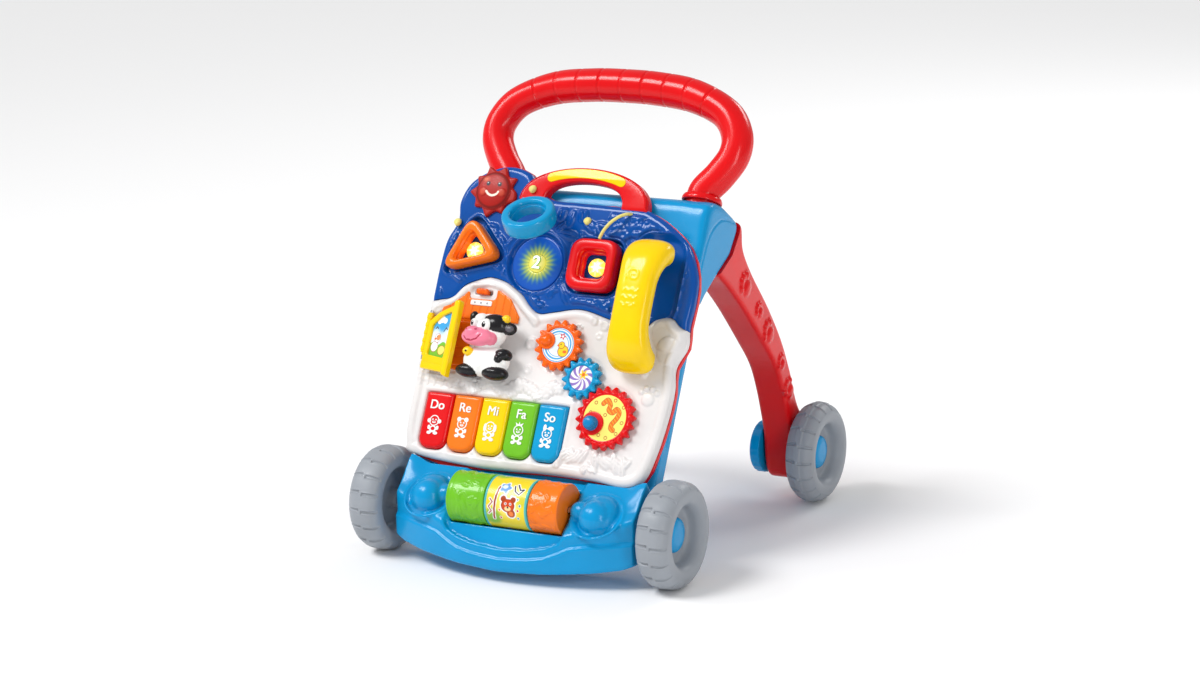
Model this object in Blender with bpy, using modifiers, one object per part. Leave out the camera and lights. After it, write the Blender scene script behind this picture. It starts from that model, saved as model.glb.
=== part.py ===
"""Baby walker: a push-along frame with a lift-off activity panel.

Lengths are millimetres in this file and become metres when an object is made.
X runs across the walker, -Y is its front, Z is up and z = 0 is the floor.
The panel and the frame front lean back.  Panel coordinates are x, v (up along
the lean) and h (straight out of the panel), measured from the empty panel_plane.
"""
import math

import bmesh
import bpy
from mathutils import Matrix, Vector

MM = 0.001
GAP = 0.3                       # clearance between neighbouring pieces

# ---------------------------------------------------------------- driving sizes
LEAN = 27                       # degrees that the panel leans back from vertical
PANEL_FOOT_Y = -201             # where the panel plane meets the floor
FRONT_AXLE_Y = -156
REAR_AXLE_Y = 164
WHEEL_RADIUS = 52
FRONT_WHEEL_X = 158             # middle of a front wheel
REAR_WHEEL_X = 160
FRONT_WHEEL_WIDTH = 34
REAR_WHEEL_WIDTH = 30
AXLE_RADIUS = 3

FRAME_HALF_WIDTH = 131
FRAME_FRONT_H = -14
WALL = 3

TUB_X = 111                     # half width of the box on the panel's back
TUB_V = (112, 352)
TUB_H = -45
RIM_H = (-13.7, -9.3)           # flange of the panel's back shell
FACE_H = (-9, 0)                # the white and blue faces

BASE_FRONT_Y = -216
BOW = 0.0018                    # how strongly the base's front is bowed
BAY_HALF = 69                   # half width of the roller bay
UNDERSIDE_TOP = 26              # how far the base is hollow from below

ROLLER_Y, ROLLER_Z = -180, 71
ROLLER_RADIUS = 25.5
ROLLER_SPANS = {"green": (-61, -19.5), "picture": (-18.7, 28.3), "orange": (29.1, 60.6)}
ROLLER_AXLE_LENGTH = 2 * BAY_HALF + 4

HANDLE_H = -41
HANDLE_RADIUS = 16
HANDLE_WALL = 3
COLLAR_X, COLLAR_V = 108, 397

KEY_WIDTH = 30.6
KEY_PITCH = 31.6
KEY_V = (117.5, 173.5)
KEY_FIRST_X = -111.2
KEY_H = (-5, 3.5)

GEAR_MODULE = 3
GEAR_H = (0.6, 8)
GEAR_POST_RADIUS = 4
TOOTH_WAVE = 2.1                # the teeth swing this far either side of the pitch circle
RED_GEAR = (75, 166, 20)        # x, v, teeth
BLUE_TEETH, ORANGE_TEETH = 13, 16
RED_TO_BLUE = 133               # direction from gear to gear, degrees from +x
BLUE_TO_ORANGE = 137

RING_H = (-5, 12)
CIRCLE_WELL = (-37, 313)
SQUARE_WELL = (29, 314)
SQUARE_HALF = 26
TRIANGLE_WELL = (-110, 320)
CIRCLE_RING_RADII = (27, 17)
CIRCLE_RING_WIDTH = 17
CIRCLE_RING_CENTRE = (-37, 350, 31)
CIRCLE_RING_TILT = 39           # degrees that its axis leans up from the panel normal

DOOR_HINGE = (-139, 229, 5)
DOOR_OUTLINE = [(1.5, -31), (44, -43), (44, 34), (1.5, 12)]
DOOR_THICKNESS = 6
DOOR_OPEN = 20                  # degrees that the door stands open at rest

CARRY_FOOT_V = 372              # where the carry handle's arch springs from

# whole panel outline (x, v), anticlockwise from the lower left corner
PANEL_OUTLINE = [
    (-131, 111), (-52, 105), (14, 107), (69, 106), (104, 103), (122, 112), (130, 137),
    (135, 172), (136, 201), (133, 224), (141, 245), (139, 265), (140, 290), (137, 315),
    (123, 343), (101, 361), (82, 371), (64, 376), (0, 377.5), (-36, 379), (-54, 391),
    (-66, 404), (-89, 409), (-111, 403), (-130, 389), (-138, 369), (-136, 349),
    (-144, 328), (-146, 300), (-146, 268), (-147, 224), (-145, 183), (-145, 148), (-141, 122),
]
# upper edge of the white face, left to right; the tall point is the barn's gable
WHITE_EDGE = [
    (-160, 252), (-138, 267), (-112, 286), (-89, 293), (-62, 287), (-48, 275), (-30, 257),
    (-6, 266), (22, 271), (55, 264), (88, 256), (104, 268), (121, 271), (134, 262), (160, 255),
]


# ---------------------------------------------------------------- scene helpers
def clear_scene():
    for old in list(bpy.data.objects):
        bpy.data.objects.remove(old, do_unlink=True)


def make_collection(name):
    collection = bpy.data.collections.new(name)
    bpy.context.scene.collection.children.link(collection)
    return collection


def make_material(name, colour, roughness=0.35, metallic=0.0):
    material = bpy.data.materials.new(name)
    material.use_nodes = True
    shader = material.node_tree.nodes["Principled BSDF"]
    shader.inputs["Base Color"].default_value = (*colour, 1)
    shader.inputs["Roughness"].default_value = roughness
    shader.inputs["Metallic"].default_value = metallic
    material.diffuse_color = (*colour, 1)
    return material


def add_object(name, mesh, colour, location=(0, 0, 0), turn=(0, 0, 0), parent=None):
    """Put a mesh in the part collection. Location in mm, turn in degrees."""
    piece = bpy.data.objects.new(name, mesh)
    PARTS.objects.link(piece)
    piece.parent = parent
    piece.location = [value * MM for value in location]
    piece.rotation_euler = [math.radians(angle) for angle in turn]
    mesh.materials.clear()
    mesh.materials.append(colour)
    return piece


def as_cutter(piece):
    PARTS.objects.unlink(piece)
    CUTTERS.objects.link(piece)
    piece.hide_render = True
    piece.display_type = 'WIRE'
    return piece


def combine(target, other, operation):
    """Boolean a helper shape into target; the helper moves to the cutters."""
    if other.name in PARTS.objects:
        as_cutter(other)
    modifier = target.modifiers.new(operation.title(), 'BOOLEAN')
    modifier.operation = operation
    modifier.solver = 'EXACT'
    modifier.object = other
    return target


def cut(target, *cutters):
    for cutter in cutters:
        combine(target, cutter, 'DIFFERENCE')
    return target


def join(target, *others):
    for other in others:
        combine(target, other, 'UNION')
    return target


def smooth(mesh, angle=35):
    mesh.shade_smooth()
    mesh.set_sharp_from_angle(angle=math.radians(angle))


# ---------------------------------------------------------------- shape helpers
def curve_to_mesh(curve, name):
    """Evaluate a curve, weld its caps and return the mesh."""
    holder = bpy.data.objects.new(name + "_curve", curve)
    PARTS.objects.link(holder)
    bpy.context.view_layer.update()
    evaluated = holder.evaluated_get(bpy.context.evaluated_depsgraph_get())
    mesh = bpy.data.meshes.new_from_object(evaluated)
    mesh.name = name
    bpy.data.objects.remove(holder, do_unlink=True)
    bm = bmesh.new()
    bm.from_mesh(mesh)
    bmesh.ops.remove_doubles(bm, verts=bm.verts, dist=0.00001)
    bmesh.ops.recalc_face_normals(bm, faces=bm.faces)
    bm.to_mesh(mesh)
    bm.free()
    smooth(mesh)
    return mesh


def fill_spline(curve, points, rounded):
    kind = 'BEZIER' if rounded else 'POLY'
    spline = curve.splines.new(kind)
    slots = spline.bezier_points if rounded else spline.points
    slots.add(len(points) - 1)
    for slot, point in zip(slots, points):
        place = [value * MM for value in point] + [0] * (3 - len(point))
        if rounded:
            slot.co = place
            slot.handle_left_type = slot.handle_right_type = 'AUTO'
        else:
            slot.co = (*place, 1)
    spline.use_cyclic_u = True


def slab_mesh(name, outlines, thickness, edge=0.0, grow=0.0, rounded=False, resolution=2):
    """A flat outline given thickness, with its rim rounded by edge."""
    curve = bpy.data.curves.new(name, 'CURVE')
    curve.dimensions = '2D'
    curve.fill_mode = 'BOTH'
    curve.resolution_u = resolution
    curve.extrude = (thickness / 2 - edge) * MM
    curve.bevel_depth = edge * MM
    curve.bevel_resolution = 0
    curve.offset = (grow - edge) * MM
    for points in outlines:
        fill_spline(curve, points, rounded)
    return curve_to_mesh(curve, name)


def plate(name, points, heights, colour, parent=None, turn=(0, 0, 0), at=(0, 0), **shape):
    """An outline in the parent's x-y plane, solid between two heights."""
    outlines = points if isinstance(points[0][0], (tuple, list)) else [points]
    low, high = heights
    mesh = slab_mesh(name, outlines, high - low, **shape)
    return add_object(name, mesh, colour, (at[0], at[1], (low + high) / 2), turn, parent)


def across(name, points, x_range, colour, parent=None, **shape):
    """A side outline (forward, up) of the parent, solid between two x values."""
    low, high = x_range
    mesh = slab_mesh(name, [points], high - low, **shape)
    return add_object(name, mesh, colour, ((low + high) / 2, 0, 0), (90, 0, 90), parent)


def block(name, low, high, colour, parent=None):
    """A box between two corners."""
    mesh = bpy.data.meshes.new(name)
    bm = bmesh.new()
    bmesh.ops.create_cube(bm, size=1)
    size = Vector(high) - Vector(low)
    bmesh.ops.scale(bm, vec=size * MM, verts=bm.verts)
    bm.to_mesh(mesh)
    bm.free()
    middle = (Vector(high) + Vector(low)) / 2
    return add_object(name, mesh, colour, middle, parent=parent)


def rod(name, radius, length, centre, colour, turn=(0, 90, 0), parent=None, segments=24):
    """A cylinder, along X unless turned."""
    mesh = bpy.data.meshes.new(name)
    bm = bmesh.new()
    bmesh.ops.create_cone(bm, cap_ends=True, segments=segments, radius1=radius * MM,
                          radius2=radius * MM, depth=length * MM)
    bm.to_mesh(mesh)
    bm.free()
    smooth(mesh)
    return add_object(name, mesh, colour, centre, turn, parent)


def ball(name, radii, centre, colour, parent=None, segments=16, turn=(0, 0, 0)):
    mesh = bpy.data.meshes.new(name)
    bm = bmesh.new()
    bmesh.ops.create_uvsphere(bm, u_segments=segments, v_segments=segments // 2, radius=1)
    bmesh.ops.scale(bm, vec=Vector(radii) * MM, verts=bm.verts)
    bm.to_mesh(mesh)
    bm.free()
    smooth(mesh)
    return add_object(name, mesh, colour, centre, turn, parent)


def turned(name, profile, centre, colour, turn=(0, 90, 0), parent=None, steps=24, ring=True):
    """A turned piece. The profile (radius, height) runs down its outer side."""
    mesh = bpy.data.meshes.new(name)
    bm = bmesh.new()
    corners = [bm.verts.new((radius * MM, 0, height * MM)) for radius, height in profile]
    for first, second in zip(corners, corners[1:] + corners[:1] if ring else corners[1:]):
        bm.edges.new((first, second))
    bm.to_mesh(mesh)
    bm.free()
    piece = add_object(name, mesh, colour, centre, turn, parent)
    screw = piece.modifiers.new("Screw", 'SCREW')
    screw.steps = screw.render_steps = steps
    screw.use_merge_vertices = True
    screw.merge_threshold = 0.00001
    screw.use_smooth_shade = True
    return piece


def sweep_mesh(name, path, section, resolution=2):
    """Sweep a closed section along a flat path of smooth points."""
    section_curve = bpy.data.curves.new(name + "_section", 'CURVE')
    section_curve.dimensions = '2D'
    section_curve.fill_mode = 'NONE'
    fill_spline(section_curve, section, rounded=False)
    section_object = bpy.data.objects.new(name + "_section", section_curve)
    CUTTERS.objects.link(section_object)
    section_object.hide_render = True
    curve = bpy.data.curves.new(name, 'CURVE')
    curve.dimensions = '2D'
    curve.fill_mode = 'NONE'
    curve.resolution_u = resolution
    curve.bevel_mode = 'OBJECT'
    curve.bevel_object = section_object
    curve.use_fill_caps = True
    fill_spline(curve, path, rounded=True)
    curve.splines[0].use_cyclic_u = False
    return curve_to_mesh(curve, name)


def arc(centre, radius, start, end, count):
    """Points along an arc, angles in degrees."""
    step = (end - start) / (count - 1)
    angles = [math.radians(start + step * index) for index in range(count)]
    return [(centre[0] + radius * math.cos(a), centre[1] + radius * math.sin(a)) for a in angles]


def rounded_box(centre, half, radius, count=4):
    """Outline of a box with round corners."""
    outline = []
    for quarter, (side_x, side_y) in enumerate([(1, 1), (-1, 1), (-1, -1), (1, -1)]):
        corner = (centre[0] + side_x * (half[0] - radius), centre[1] + side_y * (half[1] - radius))
        outline += arc(corner, radius, 90 * quarter, 90 * quarter + 90, count)
    return outline


def rounded_polygon(corners, radius, count=5):
    """Outline of a convex anticlockwise polygon with every corner rounded."""
    outline = []
    total = len(corners)
    for index, corner in enumerate(corners):
        here = Vector(corner)
        back = (Vector(corners[index - 1]) - here).normalized()
        ahead = (Vector(corners[(index + 1) % total]) - here).normalized()
        half_angle = back.angle(ahead) / 2
        centre = here + (back + ahead).normalized() * (radius / math.sin(half_angle))
        first = math.degrees(math.atan2(back.x, -back.y))
        sweep = 180 - math.degrees(2 * half_angle)
        outline += arc(centre, radius, first, first + sweep, count)
    return outline


def mirrored(name, side):
    return f"{name}_{'right' if side > 0 else 'left'}"


# ---------------------------------------------------------------- frame
def bow(x, inset=0):
    """Where the bowed front of the base lies at a given x."""
    return BASE_FRONT_Y + inset + BOW * x * x


def base_plan(inset=0):
    """Plan outline of the base: straight sides and a bowed front."""
    half = FRAME_HALF_WIDTH - inset
    front = [(half * step / 5, bow(half * step / 5, inset)) for step in range(-5, 6)]
    return front + [(half, -122 - inset), (-half, -122 - inset)]


def make_base():
    """The low front block that carries the front wheels and the rollers."""
    side = [(-126, 14), (-122, 20), (-122, 62), (-130, 76), (-155, 89), (-196, 59), (-210, 46),
            (-215, 36), (BASE_FRONT_Y, 26), (-211, 13)]
    base = across("base_block", side, (-FRAME_HALF_WIDTH, FRAME_HALF_WIDTH), BLUE_PLASTIC)
    plan = plate("base_plan", base_plan(), (0, 120), BLUE_PLASTIC)
    return combine(base, plan, 'INTERSECT')


def make_roller_bay():
    """The round well of the rollers, and the scoop that leads into it from the front."""
    well = rod("roller_well", ROLLER_RADIUS + 1.1, 2 * BAY_HALF, (0, ROLLER_Y, ROLLER_Z),
               BLUE_PLASTIC, segments=32)
    scoop = across("scoop", [(-222, 23), (-197, 52), (-180, 64), (-180, 120), (-222, 120)],
                   (-BAY_HALF, BAY_HALF), BLUE_PLASTIC)
    return well, scoop


def make_front_shell():
    """The frame's face with its side walls, the base under it and all its openings."""
    face = [(86, FRAME_FRONT_H), (384, FRAME_FRONT_H), (391, -17), (396, -30), (397, -48),
            (393.5, -76), (390.5, -76), (386.6, -58), (373, -33), (352, -26), (326, -24),
            (297, -26), (80, -26)]
    shell = across("frame_front_shell", face, (-FRAME_HALF_WIDTH, FRAME_HALF_WIDTH),
                   BLUE_PLASTIC, PANEL_PLANE)
    join(shell, make_base())
    for side in (-1, 1):
        dome = ball(mirrored("dome", side), (17, 17, 17), (side * 92, -182, 68), BLUE_PLASTIC)
        join(shell, dome)
    opening = block("tub_opening", (-TUB_X - 1, TUB_V[0] - 1, -40), (TUB_X + 1, TUB_V[1] + 1, 0),
                    BLUE_PLASTIC, PANEL_PLANE)
    underside = plate("underside", base_plan(WALL), (0, UNDERSIDE_TOP), BLUE_PLASTIC)
    cut(shell, opening, *make_roller_bay(), underside)
    for side in (-1, 1):
        low, high = sorted((side * (BAY_HALF + WALL), side * (FRAME_HALF_WIDTH - WALL)))
        pocket = across(mirrored("wheel_pocket", side),
                        [(-181, 10), (-125, 10), (-125, 60), (-133, 72), (-154, 84), (-181, 64)],
                        (low, high), BLUE_PLASTIC)
        cut(shell, pocket)
    axle_hole = rod("front_axle_hole", AXLE_RADIUS + GAP, 300, (0, FRONT_AXLE_Y, WHEEL_RADIUS),
                    BLUE_PLASTIC)
    roller_hole = rod("roller_axle_hole", AXLE_RADIUS + GAP, ROLLER_AXLE_LENGTH + 2 * GAP,
                      (0, ROLLER_Y, ROLLER_Z), BLUE_PLASTIC)
    cut(shell, axle_hole, roller_hole, *handle_sockets("front"))
    return shell


def handle_sockets(tag):
    """Holes in the shoulders that take the two feet of the handle."""
    return [rod(f"socket_{tag}_{side}", HANDLE_RADIUS + 2.5 * GAP, 60,
                (side * COLLAR_X, COLLAR_V, HANDLE_H), BLUE_PLASTIC, (90, 0, 0), PANEL_PLANE)
            for side in (-1, 1)]


# side view of a shoulder (v, h)
SHOULDER = [(297, -26.3), (326, -24.3), (352, -26.3), (373, -33.4), (386.3, -58.4),
            (390, -76.5), (393.5, -76.4), (391, -85), (383, -87), (357, -79), (334, -61),
            (306, -42), (294, -36)]


def make_rear_shell():
    """Back of the frame: two shoulders, side flanges and a deep middle for the panel's box."""
    strip = [(106, -26.3), (297, -26.3), (326, -24.3), (352, -26.4), (370, -32.5), (370, -44),
             (330, -40), (300, -34), (266, -31), (106, -31)]
    shell = across("frame_rear_shell", strip, (-FRAME_HALF_WIDTH, FRAME_HALF_WIDTH),
                   BLUE_PLASTIC, PANEL_PLANE)
    middle = block("rear_middle", (-TUB_X - 8, 106, -53), (TUB_X + 8, 360, -29.5), BLUE_PLASTIC,
                   PANEL_PLANE)
    join(shell, middle)
    for side in (-1, 1):
        low, high = sorted((side * 84, side * FRAME_HALF_WIDTH))
        join(shell, across(mirrored("shoulder", side), SHOULDER, (low, high), BLUE_PLASTIC,
                           PANEL_PLANE))
    inside = block("rear_inside", (-TUB_X - 4, 109, -50), (TUB_X + 4, 356, -20), BLUE_PLASTIC,
                   PANEL_PLANE)
    return cut(shell, inside, *handle_sockets("rear"))


def make_handle():
    """Two half shells that close on the plane of the handle."""
    half_path = [(COLLAR_X, 372), (COLLAR_X, 396), (109, 409), (122, 426), (133, 447),
                 (131.5, 468), (115, 489), (78, 504.5), (36, 510)]
    path = half_path + [(0, 511)] + [(-x, v) for x, v in reversed(half_path)]
    inner = HANDLE_RADIUS - HANDLE_WALL
    for name, start, seam in (("handle_front_shell", 0, 0.15), ("handle_rear_shell", 180, -0.15)):
        outer_arc = arc((0, 0), HANDLE_RADIUS, start, start + 180, 8)
        inner_arc = arc((0, 0), inner, start + 180, start, 5)
        section = [(a, b + seam) for a, b in outer_arc + inner_arc]
        mesh = sweep_mesh(name, path, section)
        add_object(name, mesh, RED_PLASTIC, (0, 0, HANDLE_H), parent=PANEL_PLANE)
    ring = [(HANDLE_RADIUS + 3, 5), (HANDLE_RADIUS + 4, 3), (HANDLE_RADIUS + 4, 0),
            (HANDLE_RADIUS + 2 * GAP, 0), (HANDLE_RADIUS + 2 * GAP, 5)]
    for side in (-1, 1):
        turned(mirrored("handle_collar", side), ring,
               (side * COLLAR_X, COLLAR_V + GAP + 0.2, HANDLE_H), RED_PLASTIC, (-90, 0, 0),
               PANEL_PLANE, 20)


# side view of a leg (y, z), from the shoulder down its front, round the foot and up its back
LEG_OUTLINE = [
    (-4, 276), (24, 250), (55, 221), (90, 183), (118, 150), (131, 122), (139, 95), (144, 72),
    (145, 45), (150, 28), (161, 22), (174, 25), (185, 37), (188, 56), (181, 78), (166, 98),
    (158, 115), (151, 138), (134, 175), (108, 214), (74, 256), (58, 283), (57, 306), (40, 312),
    (10, 300),
]
LEG_X = (100, 133)
LEG_SPLAY = 0.042               # how far the leg leans outwards, per mm of drop


def splay(mesh, side, top=280):
    """Shear a leg outwards towards its foot (mesh x is y, y is z, z is x)."""
    shear = Matrix(((1, 0, 0, 0), (0, 1, 0, 0), (0, -side * LEG_SPLAY, 1,
                                                 side * LEG_SPLAY * top * MM), (0, 0, 0, 1)))
    mesh.transform(shear)


def make_leg(side):
    """A red leg: an outer shell, open inwards, and the cover that closes it."""
    outer_low, outer_high = sorted((side * LEG_X[0], side * LEG_X[1]))
    shell = across(mirrored("rear_leg", side), LEG_OUTLINE, (outer_low, outer_high), RED_PLASTIC,
                   rounded=True, resolution=2, edge=2)
    pocket_low, pocket_high = sorted((side * (LEG_X[0] - 5), side * (LEG_X[1] - WALL)))
    pocket = across(mirrored("leg_pocket", side), LEG_OUTLINE, (pocket_low, pocket_high),
                    RED_PLASTIC, rounded=True, resolution=2, grow=-WALL)
    cover_low, cover_high = sorted((side * (LEG_X[0] + 0.5), side * (LEG_X[0] + 3.5)))
    cover = across(mirrored("leg_cover", side), LEG_OUTLINE, (cover_low, cover_high), RED_PLASTIC,
                   rounded=True, resolution=2, grow=-WALL - GAP)
    for piece in (shell, pocket, cover):
        splay(piece.data, side)
    foot_x = side * (LEG_X[1] + LEG_SPLAY * (280 - WHEEL_RADIUS))
    boss = rod(mirrored("axle_boss", side), 9, 24, (foot_x - side * 14, REAR_AXLE_Y,
                                                    WHEEL_RADIUS), RED_PLASTIC)
    hole = rod(mirrored("axle_bore", side), AXLE_RADIUS + GAP, 120,
               (side * 130, REAR_AXLE_Y, WHEEL_RADIUS), RED_PLASTIC)
    room = across(mirrored("shoulder_room", side), SHOULDER, (-150, 150), RED_PLASTIC,
                  PANEL_PLANE, grow=GAP)
    cut(shell, pocket)
    join(shell, boss)
    cut(shell, room, hole)
    cut(cover, room, hole)


# ---------------------------------------------------------------- wheels and rollers
def wheel_profile(width):
    half = width / 2
    outer = [(38, half), (45, half - 1.5), (50, half - 6), (WHEEL_RADIUS, 0), (50, 6 - half),
             (45, 1.5 - half), (38, -half), (32.5, 2 - half), (30, -4), (9, -4), (9, 2 - half),
             (AXLE_RADIUS + GAP, 2 - half), (AXLE_RADIUS + GAP, 4), (30, 4), (32.5, half - 2)]
    return outer


def make_wheels():
    """Four wheels with their caps and axles, and the speed dials inside the rear legs."""
    cap = [(0, 9), (9, 8.5), (15, 7), (17, 4.3), (0, 4.3)]
    for place, x, y, width in (("front", FRONT_WHEEL_X, FRONT_AXLE_Y, FRONT_WHEEL_WIDTH),
                               ("rear", REAR_WHEEL_X, REAR_AXLE_Y, REAR_WHEEL_WIDTH)):
        for side in (-1, 1):
            centre = (side * x, y, WHEEL_RADIUS)
            turned(mirrored(f"{place}_wheel", side), wheel_profile(width), centre, GREY_PLASTIC,
                   (0, side * 90, 0))
            turned(mirrored(f"{place}_hub_cap", side), cap, centre, BLUE_PLASTIC,
                   (0, side * 90, 0), steps=20, ring=False)
    rod("front_axle", AXLE_RADIUS, 2 * (FRONT_WHEEL_X + 4), (0, FRONT_AXLE_Y, WHEEL_RADIUS),
        STEEL)
    for side in (-1, 1):
        inner, outer = 97, REAR_WHEEL_X + 4
        rod(mirrored("rear_axle", side), AXLE_RADIUS, outer - inner,
            (side * (inner + outer) / 2, REAR_AXLE_Y, WHEEL_RADIUS), STEEL)
        dial = [(25, 6), (27, 4), (27, -5.5), (AXLE_RADIUS + GAP, -5.5), (AXLE_RADIUS + GAP, 6)]
        turned(mirrored("speed_dial", side), dial, (side * 101.8, REAR_AXLE_Y, WHEEL_RADIUS),
               BLUE_PLASTIC, (0, -side * 90, 0))


def make_rollers():
    """Three loose drums side by side on one axle."""
    for name, colour in (("green", GREEN_PLASTIC), ("picture", YELLOW_PLASTIC),
                         ("orange", ORANGE_PLASTIC)):
        low, high = ROLLER_SPANS[name]
        half = (high - low) / 2
        profile = [(ROLLER_RADIUS - 1.5, half), (ROLLER_RADIUS, half - 1.5),
                   (ROLLER_RADIUS, 1.5 - half), (ROLLER_RADIUS - 1.5, -half), (3.4, -half),
                   (3.4, half)]
        turned(f"roller_{name}", profile, ((low + high) / 2, ROLLER_Y, ROLLER_Z), colour)
    rod("roller_axle", AXLE_RADIUS, ROLLER_AXLE_LENGTH, (0, ROLLER_Y, ROLLER_Z), STEEL,
        segments=16)


# ---------------------------------------------------------------- activity panel
def white_outline():
    """The lower face: the panel outline below the white edge."""
    return [(-160, 90), (160, 90)] + list(reversed(WHITE_EDGE))


def make_back_shell():
    """The panel's red back: a flange, the box behind it and its battery door."""
    rim = plate("panel_back_shell", PANEL_OUTLINE, RIM_H, RED_PLASTIC, PANEL_PLANE, rounded=True,
                grow=0.6)
    tub = block("tub_outside", (-TUB_X, TUB_V[0], TUB_H), (TUB_X, TUB_V[1], RIM_H[1] - 1),
                RED_PLASTIC, PANEL_PLANE)
    hollow = block("tub_inside", (WALL - TUB_X, TUB_V[0] + WALL, TUB_H + WALL),
                   (TUB_X - WALL, TUB_V[1] - WALL, 0), RED_PLASTIC, PANEL_PLANE)
    hatch = block("battery_hatch", (-42, 138, TUB_H - 2), (42, 198, TUB_H + 5), RED_PLASTIC,
                  PANEL_PLANE)
    join(rim, tub)
    cut(rim, hollow, hatch)
    block("battery_door", (-41.5, 138.5, TUB_H), (41.5, 197.5, TUB_H + WALL - 0.2), RED_PLASTIC,
          PANEL_PLANE)


def make_insides():
    """The electronics in the panel's box."""
    block("circuit_board", (-96, 122, -20), (96, 262, -18.4), BOARD_GREEN, PANEL_PLANE)
    block("key_membrane", (-127, 126, -9), (31, 168, -8.2), RUBBER, PANEL_PLANE)
    cone = [(0, 11), (14, 11), (27, 9), (28.5, 8), (28.5, 6), (16, -3), (16, -7), (0, -7)]
    turned("speaker", cone, (45, 305, -33), DARK_PLASTIC, (0, 0, 0), PANEL_PLANE, 24, ring=False)
    for index, v in enumerate((156, 180)):
        rod(f"battery_{index + 1}", 7.2, 50, (0, v, -33), STEEL, parent=PANEL_PLANE, segments=16)


def gear_centres():
    """Red, blue and orange gear: x, v and teeth."""
    blue_distance = GEAR_MODULE * (RED_GEAR[2] + BLUE_TEETH) / 2
    angle = math.radians(RED_TO_BLUE)
    blue = (RED_GEAR[0] + blue_distance * math.cos(angle),
            RED_GEAR[1] + blue_distance * math.sin(angle), BLUE_TEETH)
    orange_distance = GEAR_MODULE * (BLUE_TEETH + ORANGE_TEETH) / 2
    angle = math.radians(BLUE_TO_ORANGE)
    orange = (blue[0] + orange_distance * math.cos(angle),
              blue[1] + orange_distance * math.sin(angle), ORANGE_TEETH)
    return RED_GEAR, blue, orange


def gear_outline(teeth, facing, tooth_at_facing):
    """Round-topped teeth, with a tooth or a gap on the direction 'facing'."""
    pitch = GEAR_MODULE * teeth / 2 - 1.5 * GAP
    phase = 0 if tooth_at_facing else math.pi
    outline = []
    for index in range(teeth * 6):
        turn = 2 * math.pi * index / (teeth * 6)
        wave = math.cos(teeth * (turn - math.radians(facing)) + phase)
        radius = pitch + TOOTH_WAVE * wave
        outline.append((radius * math.cos(turn), radius * math.sin(turn)))
    return outline


def make_gears():
    """Three gears in mesh and the crank knob on the red one."""
    red, blue, orange = gear_centres()
    # the blue gear's two mesh points must suit one tooth spacing
    blue_phase = RED_TO_BLUE + 180
    tooth_angle = 360 / BLUE_TEETH
    offset = ((BLUE_TO_ORANGE - blue_phase) / tooth_angle) % 1
    orange_facing = BLUE_TO_ORANGE + 180
    orange_shift = offset * 360 / ORANGE_TEETH
    layout = (("gear_red", red, RED_PLASTIC, gear_outline(red[2], RED_TO_BLUE, True)),
              ("gear_blue", blue, BLUE_PLASTIC, gear_outline(blue[2], blue_phase, False)),
              ("gear_orange", orange, ORANGE_PLASTIC,
               gear_outline(orange[2], orange_facing + orange_shift, True)))
    for name, (x, v, _), colour, outline in layout:
        bore = list(reversed(arc((0, 0), GEAR_POST_RADIUS + GAP, 0, 345, 24)))
        plate(name, [outline, bore], GEAR_H, colour, PANEL_PLANE, at=(x, v))
    knob = arc((0, 0), 7.5, 0, 340, 18)
    plate("crank_knob", knob, (GEAR_H[1] + GAP, 17), BLUE_PLASTIC, PANEL_PLANE,
          at=(red[0] - 12, red[1] - 7), edge=1.5)


def key_bay_outline():
    """The opening round the keys: straight on top, with a round-cornered foot for each key."""
    margin, corner = 0.4, 9
    half = KEY_WIDTH / 2
    foot = KEY_V[0] + corner
    outline = []
    for index in range(5):
        x = KEY_FIRST_X + index * KEY_PITCH
        outline += arc((x - half + corner, foot), corner + margin, 180, 270, 5)
        outline += arc((x + half - corner, foot), corner + margin, 270, 360, 5)
    top = KEY_V[1] + 1
    return outline + [(outline[-1][0], top), (outline[0][0], top)]


def make_white_face():
    """The lower face, with the key bay, the switch slot and the gear posts."""
    face = plate("white_face", PANEL_OUTLINE, FACE_H, WHITE_PLASTIC, PANEL_PLANE, rounded=True,
                 edge=2.5)
    region = plate("white_region", white_outline(), (-20, 10), WHITE_PLASTIC, PANEL_PLANE,
                   grow=-0.15)
    combine(face, region, 'INTERSECT')
    hollow = plate("white_hollow", [(-134, 116), (110, 112), (124, 140), (128, 250), (60, 252),
                                    (-20, 246), (-86, 280), (-136, 250)],
                   (-12, -3), WHITE_PLASTIC, PANEL_PLANE)
    bay = plate("key_bay", key_bay_outline(), (-12, 5), WHITE_PLASTIC, PANEL_PLANE)
    slot = block("switch_slot", (-97, 275.4, -12), (-77, 280.6, 5), WHITE_PLASTIC, PANEL_PLANE)
    surround = block("switch_surround", (-101.5, 271.5, -4), (-72.5, 284.5, 3), WHITE_PLASTIC,
                     PANEL_PLANE)
    cut(face, hollow, bay)
    join(face, surround)
    cut(face, slot)
    for index, (x, v, _) in enumerate(gear_centres()):
        join(face, rod(f"gear_post_{index}", GEAR_POST_RADIUS, 10.5, (x, v, 2.75),
                       WHITE_PLASTIC, (0, 0, 0), PANEL_PLANE, 24))


def triangle(grow=0.0):
    """The corners of the triangle ring, moved outwards by grow."""
    corners = []
    for x, v in ((-4, 35), (-28, -25), (37, -6)):
        length = math.hypot(x, v)
        scale = (length + 2 * grow) / length
        corners.append((x * scale, v * scale))
    return corners


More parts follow.
